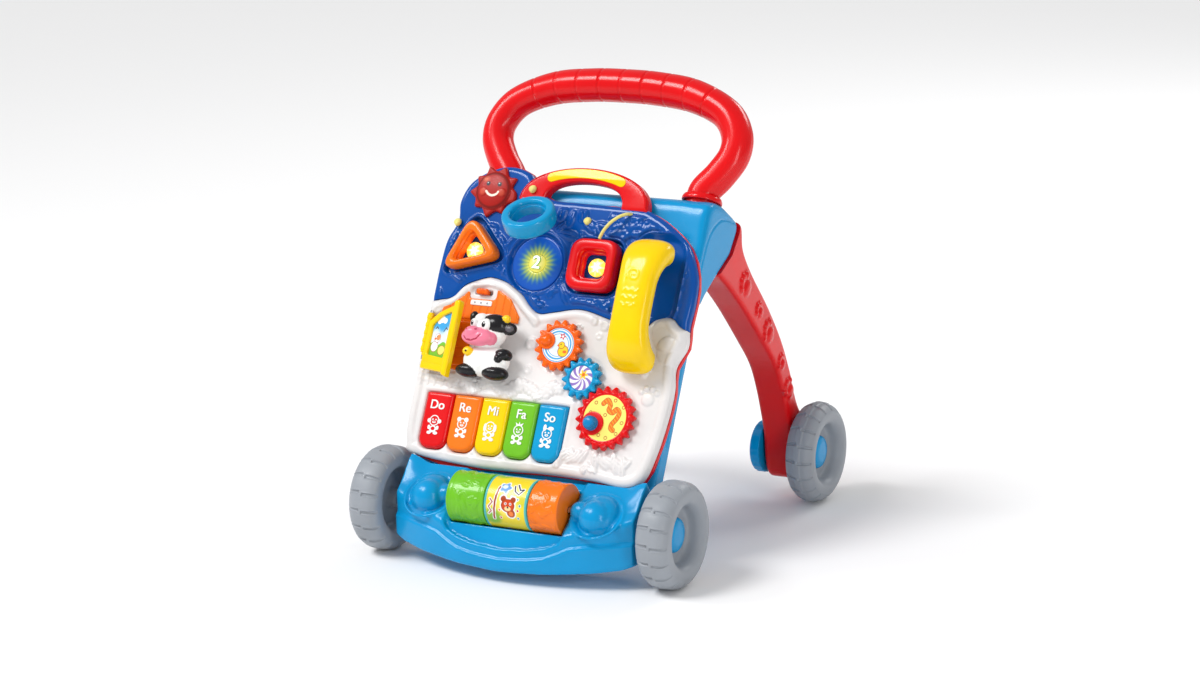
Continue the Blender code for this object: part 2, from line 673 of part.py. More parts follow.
def make_blue_face():
    """The upper face, with wells for the rings, a cradle for the phone and lamp holes."""
    face = plate("blue_face", PANEL_OUTLINE, FACE_H, DARK_BLUE_PLASTIC, PANEL_PLANE, rounded=True,
                 edge=2.5)
    region = plate("blue_region", white_outline(), (-20, 10), WHITE_PLASTIC, PANEL_PLANE,
                   grow=0.15)
    round_well = rod("round_well", 30, 12, (*CIRCLE_WELL, 0.4), DARK_BLUE_PLASTIC, (0, 0, 0),
                     PANEL_PLANE, 32)
    square_well = plate("square_well", rounded_box((0, 0), (SQUARE_HALF + 0.7,) * 2, 11),
                        (-5.6, 5), DARK_BLUE_PLASTIC, PANEL_PLANE, at=SQUARE_WELL)
    triangle_well = plate("triangle_well", rounded_polygon(triangle(0.7), 9.4), (-5.6, 5),
                          DARK_BLUE_PLASTIC, PANEL_PLANE, at=TRIANGLE_WELL)
    cradle = plate("phone_cradle", rounded_box((96, 322), (24, 28), 14), (-5.6, 5),
                   DARK_BLUE_PLASTIC, PANEL_PLANE)
    cut(face, region, round_well, square_well, triangle_well, cradle)
    for index, (x, v) in enumerate((CIRCLE_WELL, SQUARE_WELL, TRIANGLE_WELL)):
        cut(face, rod(f"lamp_hole_{index}", 9.3, 20, (x, v, 0), DARK_BLUE_PLASTIC, (0, 0, 0),
                      PANEL_PLANE, 24))


def make_light_buttons():
    """Clear push buttons: a stem through the face and a cap inside each ring."""
    cap = [(0, -1.4), (7.5, -1.6), (9, -2.6), (9, -7.3), (0, -7.3)]
    for name, (x, v) in (("light_button_round", CIRCLE_WELL),
                         ("light_button_square", SQUARE_WELL),
                         ("light_button_triangle", TRIANGLE_WELL)):
        turned(name, cap, (x, v, 0), CLEAR_PLASTIC, (0, 0, 0), PANEL_PLANE, 24, ring=False)


def make_rings():
    """Two rings seated in their wells and one leaning on the top edge."""
    hole = list(reversed(rounded_box((0, 0), (14, 14), 4)))
    plate("ring_square", [rounded_box((0, 0), (SQUARE_HALF, SQUARE_HALF), 10), hole], RING_H,
          RED_PLASTIC, PANEL_PLANE, at=SQUARE_WELL, edge=2)
    hole = list(reversed(rounded_polygon([(0.64 * x, 0.64 * v) for x, v in triangle()], 3)))
    plate("ring_triangle", [rounded_polygon(triangle(), 9), hole], RING_H, ORANGE_PLASTIC,
          PANEL_PLANE, at=TRIANGLE_WELL, edge=2)
    outer, inner = CIRCLE_RING_RADII
    half = CIRCLE_RING_WIDTH / 2
    profile = [(outer - 2, half), (outer, half - 2), (outer, 2 - half), (outer - 2, -half),
               (inner + 2, -half), (inner, 2 - half), (inner, half - 2), (inner + 2, half)]
    turned("ring_round", profile, CIRCLE_RING_CENTRE, SKY_PLASTIC, (-CIRCLE_RING_TILT, 0, 0),
           PANEL_PLANE)


def make_keys():
    """Five keys side by side, each pivoting at its upper end."""
    colours = (("key_red", RED_PLASTIC), ("key_orange", ORANGE_PLASTIC),
               ("key_yellow", YELLOW_PLASTIC), ("key_green", GREEN_PLASTIC),
               ("key_blue", SKY_PLASTIC))
    length = KEY_V[1] - KEY_V[0]
    half = KEY_WIDTH / 2
    outline = [(half, 0)] + [(-half, 0)] + arc((9 - half, 9 - length), 9, 180, 270, 5) \
        + arc((half - 9, 9 - length), 9, 270, 360, 5)
    for index, (name, colour) in enumerate(colours):
        mesh = slab_mesh(name, [outline], KEY_H[1] - KEY_H[0], edge=1.5)
        middle = (KEY_H[0] + KEY_H[1]) / 2
        mesh.transform(Matrix.Translation((0, 0, middle * MM)))
        add_object(name, mesh, colour, (KEY_FIRST_X + index * KEY_PITCH, KEY_V[1], 0),
                   parent=PANEL_PLANE)


def make_farm():
    """The barn's gable, its picture door, the cow and the power switch."""
    plate("barn_front", [(-132, 250), (-46, 250), (-46, 258), (-72, 276), (-72, 271), (-102, 271),
                         (-102, 277), (-132, 261)], (GAP, 2), ORANGE_PLASTIC, PANEL_PLANE)
    block("power_switch", (-91, 275.8, -5), (-83, 280.2, 6), ORANGE_PLASTIC, PANEL_PLANE)
    cow = ball("cow", (26, 17, 12), (-63, 208, 12.6), WHITE_PLASTIC, PANEL_PLANE, 12)
    head = ball("cow_head", (21, 19, 13), (-66, 236, 16), WHITE_PLASTIC, PANEL_PLANE, 12)
    muzzle = ball("cow_muzzle", (16, 9, 8), (-71, 229, 27), WHITE_PLASTIC, PANEL_PLANE, 12)
    join(cow, head, muzzle)
    floor = block("cow_floor", (-120, 180, -20), (0, 270, 2.2), WHITE_PLASTIC, PANEL_PLANE)
    cut(cow, floor)
    thick = DOOR_THICKNESS
    window = [(8, 9), (35, 21), (35, -32), (8, -24)]
    mesh = slab_mesh("barn_door", [DOOR_OUTLINE], thick, edge=1)
    door = add_object("barn_door", mesh, YELLOW_PLASTIC, DOOR_HINGE, (0, -DOOR_OPEN, 0),
                      PANEL_PLANE)
    window_cut = plate("door_window", window, (thick / 2 - 2, thick), YELLOW_PLASTIC, door)
    cut(door, window_cut)
    barrel = rod("door_barrel", 3.4, 42, (0, 0, 0), YELLOW_PLASTIC, (90, 0, 0), door, 16)
    join(door, barrel)
    bore = rod("door_bore", 1.8, 62, (0, 0, 0), YELLOW_PLASTIC, (90, 0, 0), door, 16)
    cut(door, bore)
    rod("door_pin", 1.4, 50, DOOR_HINGE, STEEL, (90, 0, 0), PANEL_PLANE, 12)


def make_sun():
    """A clear lens with a wavy rim."""
    points = []
    for index in range(24):
        angle = 2 * math.pi * (index + 0.3) / 24
        radius = 27 if index % 2 else 21
        points.append((radius * math.cos(angle), radius * math.sin(angle)))
    plate("sun_lens", points, (GAP, 6), CLEAR_RED, PANEL_PLANE, at=(-99, 381), edge=1)


def flat_arch(half_width, rise, squareness, angles):
    """Points of an arch over x = 0; a smaller squareness flattens its top."""
    turns = [math.radians(angle) for angle in angles]
    return [(half_width * math.cos(turn), CARRY_FOOT_V + rise * abs(math.sin(turn)) ** squareness)
            for turn in turns]


def make_carry_handle():
    """A squarish arch on top of the panel, trimmed to fit the panel's outline."""
    outer = flat_arch(72, 41, 0.8, range(0, 181, 12))
    inner = flat_arch(43, 26, 0.6, range(180, -1, -15))
    handle = plate("carry_handle", outer + inner, (-13.4, 0), RED_PLASTIC, PANEL_PLANE)
    room = plate("panel_room", PANEL_OUTLINE, (-20, 10), RED_PLASTIC, PANEL_PLANE, rounded=True,
                 grow=0.6 + GAP)
    cut(handle, room)


def make_phone():
    """A bowed handset with a thicker ear piece and mouth piece."""
    outside = [(342, 6), (343, 22), (330, 38), (300, 46), (262, 46), (228, 38), (212, 24), (210, 6)]
    inside = [(234, 6), (244, 18), (278, 24), (308, 18), (318, 6)]
    mesh = slab_mesh("phone_handset", [list(reversed(outside + inside))], 42, edge=5)
    add_object("phone_handset", mesh, YELLOW_PLASTIC, (96, 0, 0), (90, 0, 90), PANEL_PLANE)


# cord from the square ring to its hole in the panel: x, v, h
CORD_ROUTE = [(31, 340.8, 7), (32.4, 344.2, 8), (36.6, 350, 10.6), (42.6, 356.8, 12),
              (49, 363, 10.6), (54.6, 367.4, 6.4), (57, 369, 0.6)]
CORD_RADIUS = 1.6


def catmull_rom(points, steps):
    """A smooth curve through the points."""
    path = []
    ends = [2 * Vector(points[0]) - Vector(points[1])] + [Vector(p) for p in points] \
        + [2 * Vector(points[-1]) - Vector(points[-2])]
    for before, start, end, after in zip(ends, ends[1:], ends[2:], ends[3:]):
        for index in range(steps):
            t = index / steps
            path.append(0.5 * (2 * start + (end - before) * t
                               + (2 * before - 5 * start + 4 * end - after) * t * t
                               + (3 * start - before - 3 * end + after) * t ** 3))
    return path + [Vector(points[-1])]


def make_cord():
    """The cord that ties the square ring to the panel."""
    curve = bpy.data.curves.new("ring_cord", 'CURVE')
    curve.dimensions = '3D'
    curve.bevel_depth = CORD_RADIUS * MM
    curve.bevel_resolution = 2
    curve.use_fill_caps = True
    path = catmull_rom(CORD_ROUTE, 2)
    spline = curve.splines.new('POLY')
    spline.points.add(len(path) - 1)
    for slot, point in zip(spline.points, path):
        slot.co = (*(point * MM), 1)
    add_object("ring_cord", curve_to_mesh(curve, "ring_cord"), CORD_YELLOW, parent=PANEL_PLANE)


# ---------------------------------------------------------------- build
clear_scene()
PARTS = make_collection("baby_walker")
CUTTERS = make_collection("cutters")

BLUE_PLASTIC = make_material("sky_blue", (0.0, 0.30, 0.66), 0.22)
SKY_PLASTIC = make_material("light_blue", (0.01, 0.40, 0.78), 0.22)
RED_PLASTIC = make_material("red", (0.75, 0.01, 0.015), 0.22)
DARK_BLUE_PLASTIC = make_material("dark_blue", (0.005, 0.07, 0.40), 0.22)
WHITE_PLASTIC = make_material("white", (0.85, 0.83, 0.79), 0.25)
YELLOW_PLASTIC = make_material("yellow", (0.90, 0.66, 0.02), 0.25)
ORANGE_PLASTIC = make_material("orange", (0.90, 0.19, 0.01), 0.25)
GREEN_PLASTIC = make_material("green", (0.16, 0.50, 0.03), 0.25)
GREY_PLASTIC = make_material("grey", (0.30, 0.33, 0.36), 0.45)
CLEAR_PLASTIC = make_material("clear", (0.90, 0.85, 0.45), 0.1)
CLEAR_RED = make_material("clear_red", (0.45, 0.02, 0.01), 0.1)
DARK_PLASTIC = make_material("speaker_black", (0.02, 0.02, 0.02), 0.6)
BOARD_GREEN = make_material("board_green", (0.02, 0.22, 0.08), 0.5)
RUBBER = make_material("rubber", (0.10, 0.10, 0.11), 0.7)
CORD_YELLOW = make_material("cord_cream", (0.80, 0.72, 0.25), 0.6)
STEEL = make_material("steel", (0.55, 0.55, 0.56), 0.3, 1.0)

PANEL_PLANE = bpy.data.objects.new("panel_plane", None)
PARTS.objects.link(PANEL_PLANE)
PANEL_PLANE.location = (0, PANEL_FOOT_Y * MM, 0)
PANEL_PLANE.rotation_euler = (math.radians(90 - LEAN), 0, 0)
bpy.context.view_layer.update()

make_front_shell()
make_rear_shell()
make_handle()
for leg_side in (-1, 1):
    make_leg(leg_side)
make_wheels()
make_rollers()
make_back_shell()
make_insides()
make_white_face()
make_blue_face()
make_light_buttons()
make_rings()
make_gears()
make_keys()
make_farm()
make_sun()
make_carry_handle()
make_phone()
make_cord()
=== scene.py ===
"""Finished look of the baby walker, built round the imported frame.

Shapes are drawn in millimetres and become metres when a piece is made.  Panel
coordinates are x (right), v (up along the lean) and h (straight out of the panel).
"""
import math
import random

import bmesh
import bpy
import numpy as np
from mathutils import Matrix, Vector


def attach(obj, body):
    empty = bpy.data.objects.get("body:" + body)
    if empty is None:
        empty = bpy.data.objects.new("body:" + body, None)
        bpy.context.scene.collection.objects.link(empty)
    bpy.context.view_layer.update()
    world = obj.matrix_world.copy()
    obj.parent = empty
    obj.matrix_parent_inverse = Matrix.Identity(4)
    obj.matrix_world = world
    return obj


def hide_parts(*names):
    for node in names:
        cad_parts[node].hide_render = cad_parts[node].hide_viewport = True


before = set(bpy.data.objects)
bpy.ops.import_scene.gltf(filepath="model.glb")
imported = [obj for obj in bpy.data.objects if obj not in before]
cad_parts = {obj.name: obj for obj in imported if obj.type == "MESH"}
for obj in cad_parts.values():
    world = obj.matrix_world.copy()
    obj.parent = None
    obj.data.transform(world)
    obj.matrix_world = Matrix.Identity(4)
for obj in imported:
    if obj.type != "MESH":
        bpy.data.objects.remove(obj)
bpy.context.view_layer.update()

MM = 0.001
LEAN = math.radians(27)                 # how far the panel leans back
PANEL_FOOT_Y = -201
FLOOR = Matrix.Scale(MM, 4)
LEAN_BACK = (Matrix.Rotation(math.pi / 2 - LEAN, 4, 'X'), Matrix.Translation((0, PANEL_FOOT_Y, 0)))
PANEL = FLOOR @ LEAN_BACK[1] @ LEAN_BACK[0]
SIDES = ((-1, "left"), (1, "right"))

WHEEL_RADIUS = 52
FRONT_AXLE_Y, REAR_AXLE_Y = -156, 164
FRONT_WHEEL_X, REAR_WHEEL_X = 158, 160
FRAME_HALF = 131
BASE_FRONT_Y = -216
BOW = 0.0018                            # how fast the base's front falls back from the middle
BAY_FLOOR_HALF = 62
DOME_X = 92
ROLLER_Y, ROLLER_Z, ROLLER_RADIUS = -180, 71, 25.5
HANDLE_H, HANDLE_RADIUS = -41, 16
COLLAR_X, COLLAR_V = 108, 397


def add_object(name, data):
    """A new object in the scene."""
    thing = bpy.data.objects.new(name, data)
    bpy.context.scene.collection.objects.link(thing)
    return thing


def primitive(create, **settings):
    """A mesh made by one of bmesh's own shapes."""
    mesh = bpy.data.meshes.new("primitive")
    bm = bmesh.new()
    create(bm, **settings)
    bm.to_mesh(mesh)
    bm.free()
    return mesh


# ---------------------------------------------------------------- camera, light, stage
def make_camera():
    """Looks down at the walker from its front right, as the reference view does."""
    azimuth, elevation, roll = math.radians(28.73), math.radians(13.36), math.radians(-1.4)
    aim, sideways, distance = Vector((0, 0.004, 0.19305)), -0.00186, 3.12753
    back = Vector((math.sin(azimuth) * math.cos(elevation), -math.cos(azimuth) * math.cos(elevation),
                   math.sin(elevation)))
    right = Vector((math.cos(azimuth), math.sin(azimuth), 0))
    up = back.cross(right)
    turned_right = right * math.cos(roll) + up * math.sin(roll)
    turned_up = up * math.cos(roll) - right * math.sin(roll)
    camera = add_object("camera", bpy.data.cameras.new("camera"))
    camera.data.sensor_width = 36
    camera.data.lens = 94.08
    camera.data.clip_end = 30
    pose = Matrix((turned_right, turned_up, back)).transposed().to_4x4()
    pose.translation = aim + right * sideways + back * distance
    camera.matrix_world = pose
    bpy.context.scene.camera = camera


def aimed(direction):
    """The rotation that points a lamp along a direction."""
    return Vector(direction).to_track_quat('-Z', 'Y').to_euler()


def area_light(name, at, aim, size, energy):
    light = bpy.data.lights.new(name, 'AREA')
    light.shape = 'RECTANGLE'
    light.size, light.size_y = size
    light.energy = energy
    holder = add_object(name, light)
    holder.location = at
    holder.rotation_euler = aimed(Vector(aim) - Vector(at))


def make_stage():
    world = bpy.data.worlds.new("studio")
    bpy.context.scene.world = world
    world.use_nodes = True
    sky = world.node_tree.nodes["Background"]
    sky.inputs["Color"].default_value = (1, 1, 1, 1)
    sky.inputs["Strength"].default_value = 0.42
    daylight = bpy.data.lights.new("daylight", 'SUN')
    daylight.energy = 1.85
    daylight.angle = math.radians(22)
    add_object("daylight", daylight).rotation_euler = aimed((0.5, 0.62, -1.0))
    area_light("key_light", (-1.8, -0.9, 1.9), (0, 0, 0.2), (0.7, 0.7), 16)
    area_light("front_light", (2.2, -1.6, 0.8), (0, 0, 0.2), (0.6, 1.5), 17)
    area_light("back_light", (0.8, 2.4, 1.7), (0, 0, 0.25), (1.6, 0.7), 22)
    floor = add_object("floor", primitive(bmesh.ops.create_grid, x_segments=8, y_segments=8, size=20))
    floor.data.materials.append(floor_paper())
    bpy.context.scene.view_settings.view_transform = 'Standard'


def floor_paper():
    """Pale, even paper."""
    material = bpy.data.materials.new("floor_paper")
    material.use_nodes = True
    tree = material.node_tree
    noise = tree.nodes.new("ShaderNodeTexNoise")
    noise.inputs["Scale"].default_value = 0.8
    ramp = tree.nodes.new("ShaderNodeValToRGB")
    ramp.color_ramp.elements[0].color = (0.93, 0.93, 0.935, 1)
    ramp.color_ramp.elements[1].color = (0.95, 0.95, 0.95, 1)
    tree.links.new(noise.outputs["Fac"], ramp.inputs["Fac"])
    tree.links.new(ramp.outputs["Color"], tree.nodes["Principled BSDF"].inputs["Base Color"])
    tree.nodes["Principled BSDF"].inputs["Roughness"].default_value = 0.8
    return material


# ---------------------------------------------------------------- materials
def colour_of(red, green, blue):
    """Scene colour of a 0 to 255 screen colour."""
    shares = np.array((red, green, blue)) / 255
    return tuple(np.where(shares <= 0.04045, shares / 12.92, ((shares + 0.055) / 1.055) ** 2.4))


def plastic(name, colour, slot, roughness=0.2, painted=False, coat=0.16, grain=0.06, glow=0.0,
            metallic=0.0):
    """Moulded plastic: faint tone drift, a fine grain and slightly uneven gloss.

    A painted material takes its colour from the mesh's paint layer.
    """
    material = bpy.data.materials.new(name)
    material["slot"] = slot
    material.use_nodes = True
    tree = material.node_tree
    shader = tree.nodes["Principled BSDF"]
    place = tree.nodes.new("ShaderNodeTexCoord").outputs["Object"]

    def noise(scale, detail):
        node = tree.nodes.new("ShaderNodeTexNoise")
        node.inputs["Scale"].default_value = scale
        node.inputs["Detail"].default_value = detail
        tree.links.new(place, node.inputs["Vector"])
        return node.outputs["Fac"]

    def spread(source, low, high):
        node = tree.nodes.new("ShaderNodeMapRange")
        node.inputs["From Min"].default_value = 0.25
        node.inputs["From Max"].default_value = 0.75
        node.inputs["To Min"].default_value = low
        node.inputs["To Max"].default_value = high
        tree.links.new(source, node.inputs["Value"])
        return node.outputs["Result"]

    drift, speck = noise(24, 3), noise(1500, 2)
    tone = tree.nodes.new("ShaderNodeMix")
    tone.data_type = 'RGBA'
    tone.blend_type = 'MULTIPLY'
    tone.inputs["Factor"].default_value = 1
    if painted:
        paint = tree.nodes.new("ShaderNodeAttribute")
        paint.attribute_name = "paint"
        tree.links.new(paint.outputs["Color"], tone.inputs["A"])
    else:
        tone.inputs["A"].default_value = (*colour, 1)
    tree.links.new(spread(drift, 0.93, 1.04), tone.inputs["B"])
    tree.links.new(tone.outputs["Result"], shader.inputs["Base Color"])
    tree.links.new(spread(drift, roughness - 0.03, roughness + 0.05), shader.inputs["Roughness"])
    bump = tree.nodes.new("ShaderNodeBump")
    bump.inputs["Strength"].default_value = grain
    bump.inputs["Distance"].default_value = 0.0004
    tree.links.new(speck, bump.inputs["Height"])
    tree.links.new(bump.outputs["Normal"], shader.inputs["Normal"])
    shader.inputs["Specular IOR Level"].default_value = 0.24
    shader.inputs["Coat Weight"].default_value = coat
    shader.inputs["Coat Roughness"].default_value = 0.08
    shader.inputs["Metallic"].default_value = metallic
    if glow:
        tree.links.new(tone.outputs["Result"], shader.inputs["Emission Color"])
        shader.inputs["Emission Strength"].default_value = glow
    material.diffuse_color = (*colour, 1)
    return material


SKY = plastic("sky_blue", colour_of(0, 146, 205), "sky_blue_plastic", coat=0.1)
RED = plastic("red", colour_of(222, 8, 16), "red_plastic")
DARK_BLUE = plastic("dark_blue", colour_of(0, 76, 160), "dark_blue_plastic", 0.16)
WHITE = plastic("white", colour_of(226, 223, 222), "white_plastic", 0.28)
YELLOW = plastic("yellow", colour_of(248, 206, 0), "yellow_plastic", 0.18)
ORANGE = plastic("orange", colour_of(244, 100, 8), "orange_plastic")
GREEN = plastic("green", colour_of(112, 190, 38), "green_plastic")
AQUA = plastic("aqua", colour_of(8, 152, 206), "sky_blue_plastic", 0.14)
GREY = plastic("wheel_grey", colour_of(150, 155, 162), "wheel_grey", 0.42, coat=0.05, grain=0.15)
CREAM = plastic("cord_cream", colour_of(232, 220, 130), "cord", 0.6, coat=0, grain=0.5)
STEEL = plastic("steel", colour_of(190, 192, 196), "steel", 0.25, coat=0, metallic=1.0)
BOARD = plastic("board_green", colour_of(30, 110, 64), "board_green", 0.4, grain=0.3)
BLACK = plastic("black", colour_of(28, 28, 32), "black_plastic", 0.25)
RUBBER = plastic("membrane", colour_of(92, 94, 100), "membrane_rubber", 0.6, coat=0, grain=0.3)
BATTERY = plastic("battery_shell", colour_of(170, 64, 50), "battery_shell", 0.3, metallic=0.4)
PRINT = plastic("print", (1, 1, 1), "white_plastic", 0.3, painted=True)
COW_SKIN = plastic("cow_skin", (1, 1, 1), "cow_white", 0.22, painted=True)
SNOWY = plastic("white_print", colour_of(242, 242, 240), "white_plastic", 0.3)
TEALISH = plastic("knob_blue", colour_of(10, 128, 190), "sky_blue_plastic", 0.18)
LENS = plastic("lens_print", (1, 1, 1), "sun_plastic", 0.42, painted=True, coat=0.04)
AMBER = plastic("amber_orange", colour_of(245, 120, 22), "orange_plastic")
BRIGHT = plastic("bright_white", colour_of(250, 250, 244), "light_plastic", 0.3, glow=0.6)
SOFT_LAMP = plastic("well_lens", (1, 1, 1), "light_plastic", 0.15, painted=True, glow=0.35)
LAMP = plastic("lamp", (1, 0.9, 0.5), "light_plastic", 0.2, painted=True, glow=1.4)


# ---------------------------------------------------------------- mesh tools (millimetres)
def mended(mesh, weld=0.0, capped=False):
    """Weld points closer than weld, cap open ends if asked, and face every side outwards."""
    bm = bmesh.new()
    bm.from_mesh(mesh)
    if weld:
        bmesh.ops.remove_doubles(bm, verts=bm.verts, dist=weld)
    if capped:
        bmesh.ops.holes_fill(bm, edges=[e for e in bm.edges if e.is_boundary])
        bmesh.ops.triangulate(bm, faces=[f for f in bm.faces if len(f.verts) > 4])
    bmesh.ops.recalc_face_normals(bm, faces=bm.faces)
    bm.to_mesh(mesh)
    bm.free()
    return mesh


def mesh_of(points, faces, weld=0.001):
    """A mesh of points and faces, mended unless weld is None."""
    mesh = bpy.data.meshes.new("mesh")
    mesh.from_pydata(np.asarray(points, float).tolist(), [],
                     faces if isinstance(faces, list) else faces.tolist())
    return mesh if weld is None else mended(mesh, weld)


def grid_faces(rows, columns, wrap_rows=False, wrap_columns=False):
    """Four-sided faces over a grid of points, given row by row."""
    row, column = np.meshgrid(np.arange(rows if wrap_rows else rows - 1),
                              np.arange(columns if wrap_columns else columns - 1), indexing='ij')
    next_row, next_column = (row + 1) % rows, (column + 1) % columns
    corners = (row * columns + column, row * columns + next_column,
               next_row * columns + next_column, next_row * columns + column)
    return np.stack(corners, -1).reshape(-1, 4)


# Edges that turn by more than this many degrees stay sharp.
MOULDED, CRISP, ROUNDED, SCULPTED = 38, 45, 50, 60


def place(name, mesh, look, body, stands_for=(), matrix=FLOOR, sharp=MOULDED):
    """Make a mesh a piece of the object, riding on a body."""
    mesh.transform(matrix)
    if matrix.determinant() < 0:
        mesh.flip_normals()
    mesh.materials.clear()
    mesh.materials.append(look)
    mesh.shade_smooth()
    mesh.set_sharp_from_angle(angle=math.radians(sharp))
    piece = add_object(name, mesh)
    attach(piece, body)
    if stands_for:
        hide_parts(*stands_for)
    return piece


def on_panel(name, mesh, look, stands_for=(), sharp=MOULDED):
    """Make a mesh in panel coordinates a piece of the panel."""
    return place(name, mesh, look, "panel", stands_for, PANEL, sharp)


def paint(mesh, colours):
    """Give each point of a mesh its own colour."""
    layer = mesh.color_attributes.new("paint", 'FLOAT_COLOR', 'POINT')
    rows = np.ones((len(mesh.vertices), 4), np.float32)
    rows[:, :3] = colours
    layer.data.foreach_set("color", rows.ravel())


def points_of(mesh):
    flat = np.zeros(len(mesh.vertices) * 3, np.float32)
    mesh.vertices.foreach_get("co", flat)
    return flat.reshape(-1, 3).astype(float)


def set_points(mesh, points):
    mesh.vertices.foreach_set("co", np.asarray(points, np.float32).ravel())
    mesh.update()


def moved(mesh, *steps):
    for step in steps:
        mesh.transform(step)
    return mesh


def shift(x, y, z):
    return Matrix.Translation((x, y, z))


def turn(degrees, axis):
    return Matrix.Rotation(math.radians(degrees), 4, axis)


def settle(data, *modifiers):
    """The mesh of a mesh or curve once its modifiers, each (type, settings), have run."""
    holder = add_object("holder", data)
    for kind, settings in modifiers:
        modifier = holder.modifiers.new(kind, kind)
        for key, value in settings.items():
            setattr(modifier, key, value)
    bpy.context.view_layer.update()
    result = bpy.data.meshes.new_from_object(
        holder.evaluated_get(bpy.context.evaluated_depsgraph_get()))
    bpy.data.objects.remove(holder, do_unlink=True)
    return result


def gather(*meshes):
    """Several meshes as one."""
    bm = bmesh.new()
    for mesh in meshes:
        bm.from_mesh(mesh)
    joined = bpy.data.meshes.new("joined")
    bm.to_mesh(joined)
    bm.free()
    return joined


def boolean(mesh, cutters):
    """Cut closed shapes out of a mesh."""
    for cutter in cutters:
        tool = add_object("tool", cutter)
        mesh = settle(mesh, ('BOOLEAN', {"operation": 'DIFFERENCE', "solver": 'EXACT', "object": tool}))
        bpy.data.objects.remove(tool, do_unlink=True)
    return mesh


def mould(mesh, voxel=1.2, rounds=6):
    """Melt overlapping closed shapes into one skin with soft fillets, like a moulding."""
    return settle(mesh, ('REMESH', {"mode": 'VOXEL', "voxel_size": voxel}),
                  ('SMOOTH', {"factor": 0.5, "iterations": rounds}))


def melt(mesh, share, rounds):
    """Relax a mesh, most where share (0 to 1 for each point) is highest."""
    ends = np.zeros(len(mesh.edges) * 2, np.int32)
    mesh.edges.foreach_get("vertices", ends)
    near, far = np.concatenate((ends[::2], ends[1::2])), np.concatenate((ends[1::2], ends[::2]))
    points = points_of(mesh)
    count = np.bincount(near, minlength=len(points))
    for _ in range(rounds):
        middle = np.stack([np.bincount(near, points[far, i], len(points)) for i in range(3)], 1)
        points += (0.5 * share)[:, None] * (middle / count[:, None] - points)
    set_points(mesh, points)
    return mesh


def add_spline(curve, points, closed=False):
    """Add a line of straight pieces through flat or solid points to a curve."""
    spline = curve.splines.new('POLY')
    spline.points.add(len(points) - 1)
    for knot, point in zip(spline.points, points):
        knot.co = (*(*point, 0)[:3], 1)
    spline.use_cyclic_u = closed


def bead(name, line, radius, resolution):
    """A round string along a line, closed at its ends, as a curve."""
    curve = bpy.data.curves.new(name, 'CURVE')
    curve.dimensions = '3D'
    curve.bevel_depth = radius
    curve.bevel_resolution = resolution
    curve.use_fill_caps = True
    add_spline(curve, line)
    return curve


def slab(outlines, low, high, edge=0.0, steps=3, grow=0.0):
    """Flat outlines given thickness, with rims rounded by edge."""
    curve = bpy.data.curves.new("outline", 'CURVE')
    curve.dimensions = '2D'
    curve.fill_mode = 'BOTH'
    curve.extrude = (high - low) / 2 - edge
    curve.bevel_depth = edge
    curve.bevel_resolution = steps
    curve.offset = grow - edge
    for outline in outlines:
        add_spline(curve, outline, closed=True)
    return moved(mended(settle(curve), 0.005), shift(0, 0, (low + high) / 2))


SIDEWAYS = Matrix(((0, 0, 1, 0), (1, 0, 0, 0), (0, 1, 0, 0), (0, 0, 0, 1)))


def across(outline, low, high, **shape):
    """A side outline (forward, up) given a width along x."""
    return moved(slab([outline], low, high, **shape), SIDEWAYS)


def round_angles(count):
    """Angles once round a circle."""
    return np.linspace(0, 2 * math.pi, count, endpoint=False)


def lathe(profile, steps=72, closed=True):
    """Turn a profile of (radius, height) about z."""
    angles = round_angles(steps)
    radius, height = np.array([tuple(p)[:2] for p in profile], float).T
    points = np.stack((np.outer(radius, np.cos(angles)), np.outer(radius, np.sin(angles)),
                       np.repeat(height[:, None], steps, 1)), -1).reshape(-1, 3)
    return mesh_of(points, grid_faces(len(profile), steps, closed, True))


def egg(centre, radii, turned=None, segments=32):
    """A ball stretched to three radii, turned if asked, at a place."""
    ball = primitive(bmesh.ops.create_uvsphere, u_segments=segments, v_segments=segments // 2, radius=1)
    return moved(ball, Matrix.Diagonal((*radii, 1)), turned or Matrix.Identity(4), shift(*centre))


def cylinder(radius, low, high, steps=64):
    return lathe([(0, high), (radius, high), (radius, low), (0, low)], steps, closed=False)


def box(low, high):
    low, high = Vector(low), Vector(high)
    return moved(primitive(bmesh.ops.create_cube, size=1), Matrix.Diagonal((*(high - low), 1)),
                 Matrix.Translation((high + low) / 2))


def arc(centre, radius, start, end, count):
    angles = np.radians(np.linspace(start, end, count))
    return [(centre[0] + radius * math.cos(a), centre[1] + radius * math.sin(a)) for a in angles]


def oval(at, radius, other=None, count=28):
    """Points of an oval outline."""
    return [(at[0] + radius * math.cos(a), at[1] + (other or radius) * math.sin(a))
            for a in round_angles(count)]


def scaled(outline, size):
    return [(size * p[0], size * p[1]) for p in outline]


def fillet(points, radius, steps=5, closed=True):
    """Round every corner of a line of points."""
    rounded = []
    total = len(points)
    for index, point in enumerate(points):
        here = Vector(point)
        if not closed and index in (0, total - 1):
            rounded.append(here)
            continue
        back = Vector(points[index - 1]) - here
        ahead = Vector(points[(index + 1) % total]) - here
        start = here + back.normalized() * min(radius, back.length * 0.49)
        end = here + ahead.normalized() * min(radius, ahead.length * 0.49)
        for t in np.linspace(0, 1, steps + 1):
            rounded.append(start * (1 - t) ** 2 + here * (2 * t * (1 - t)) + end * t ** 2)
    return rounded


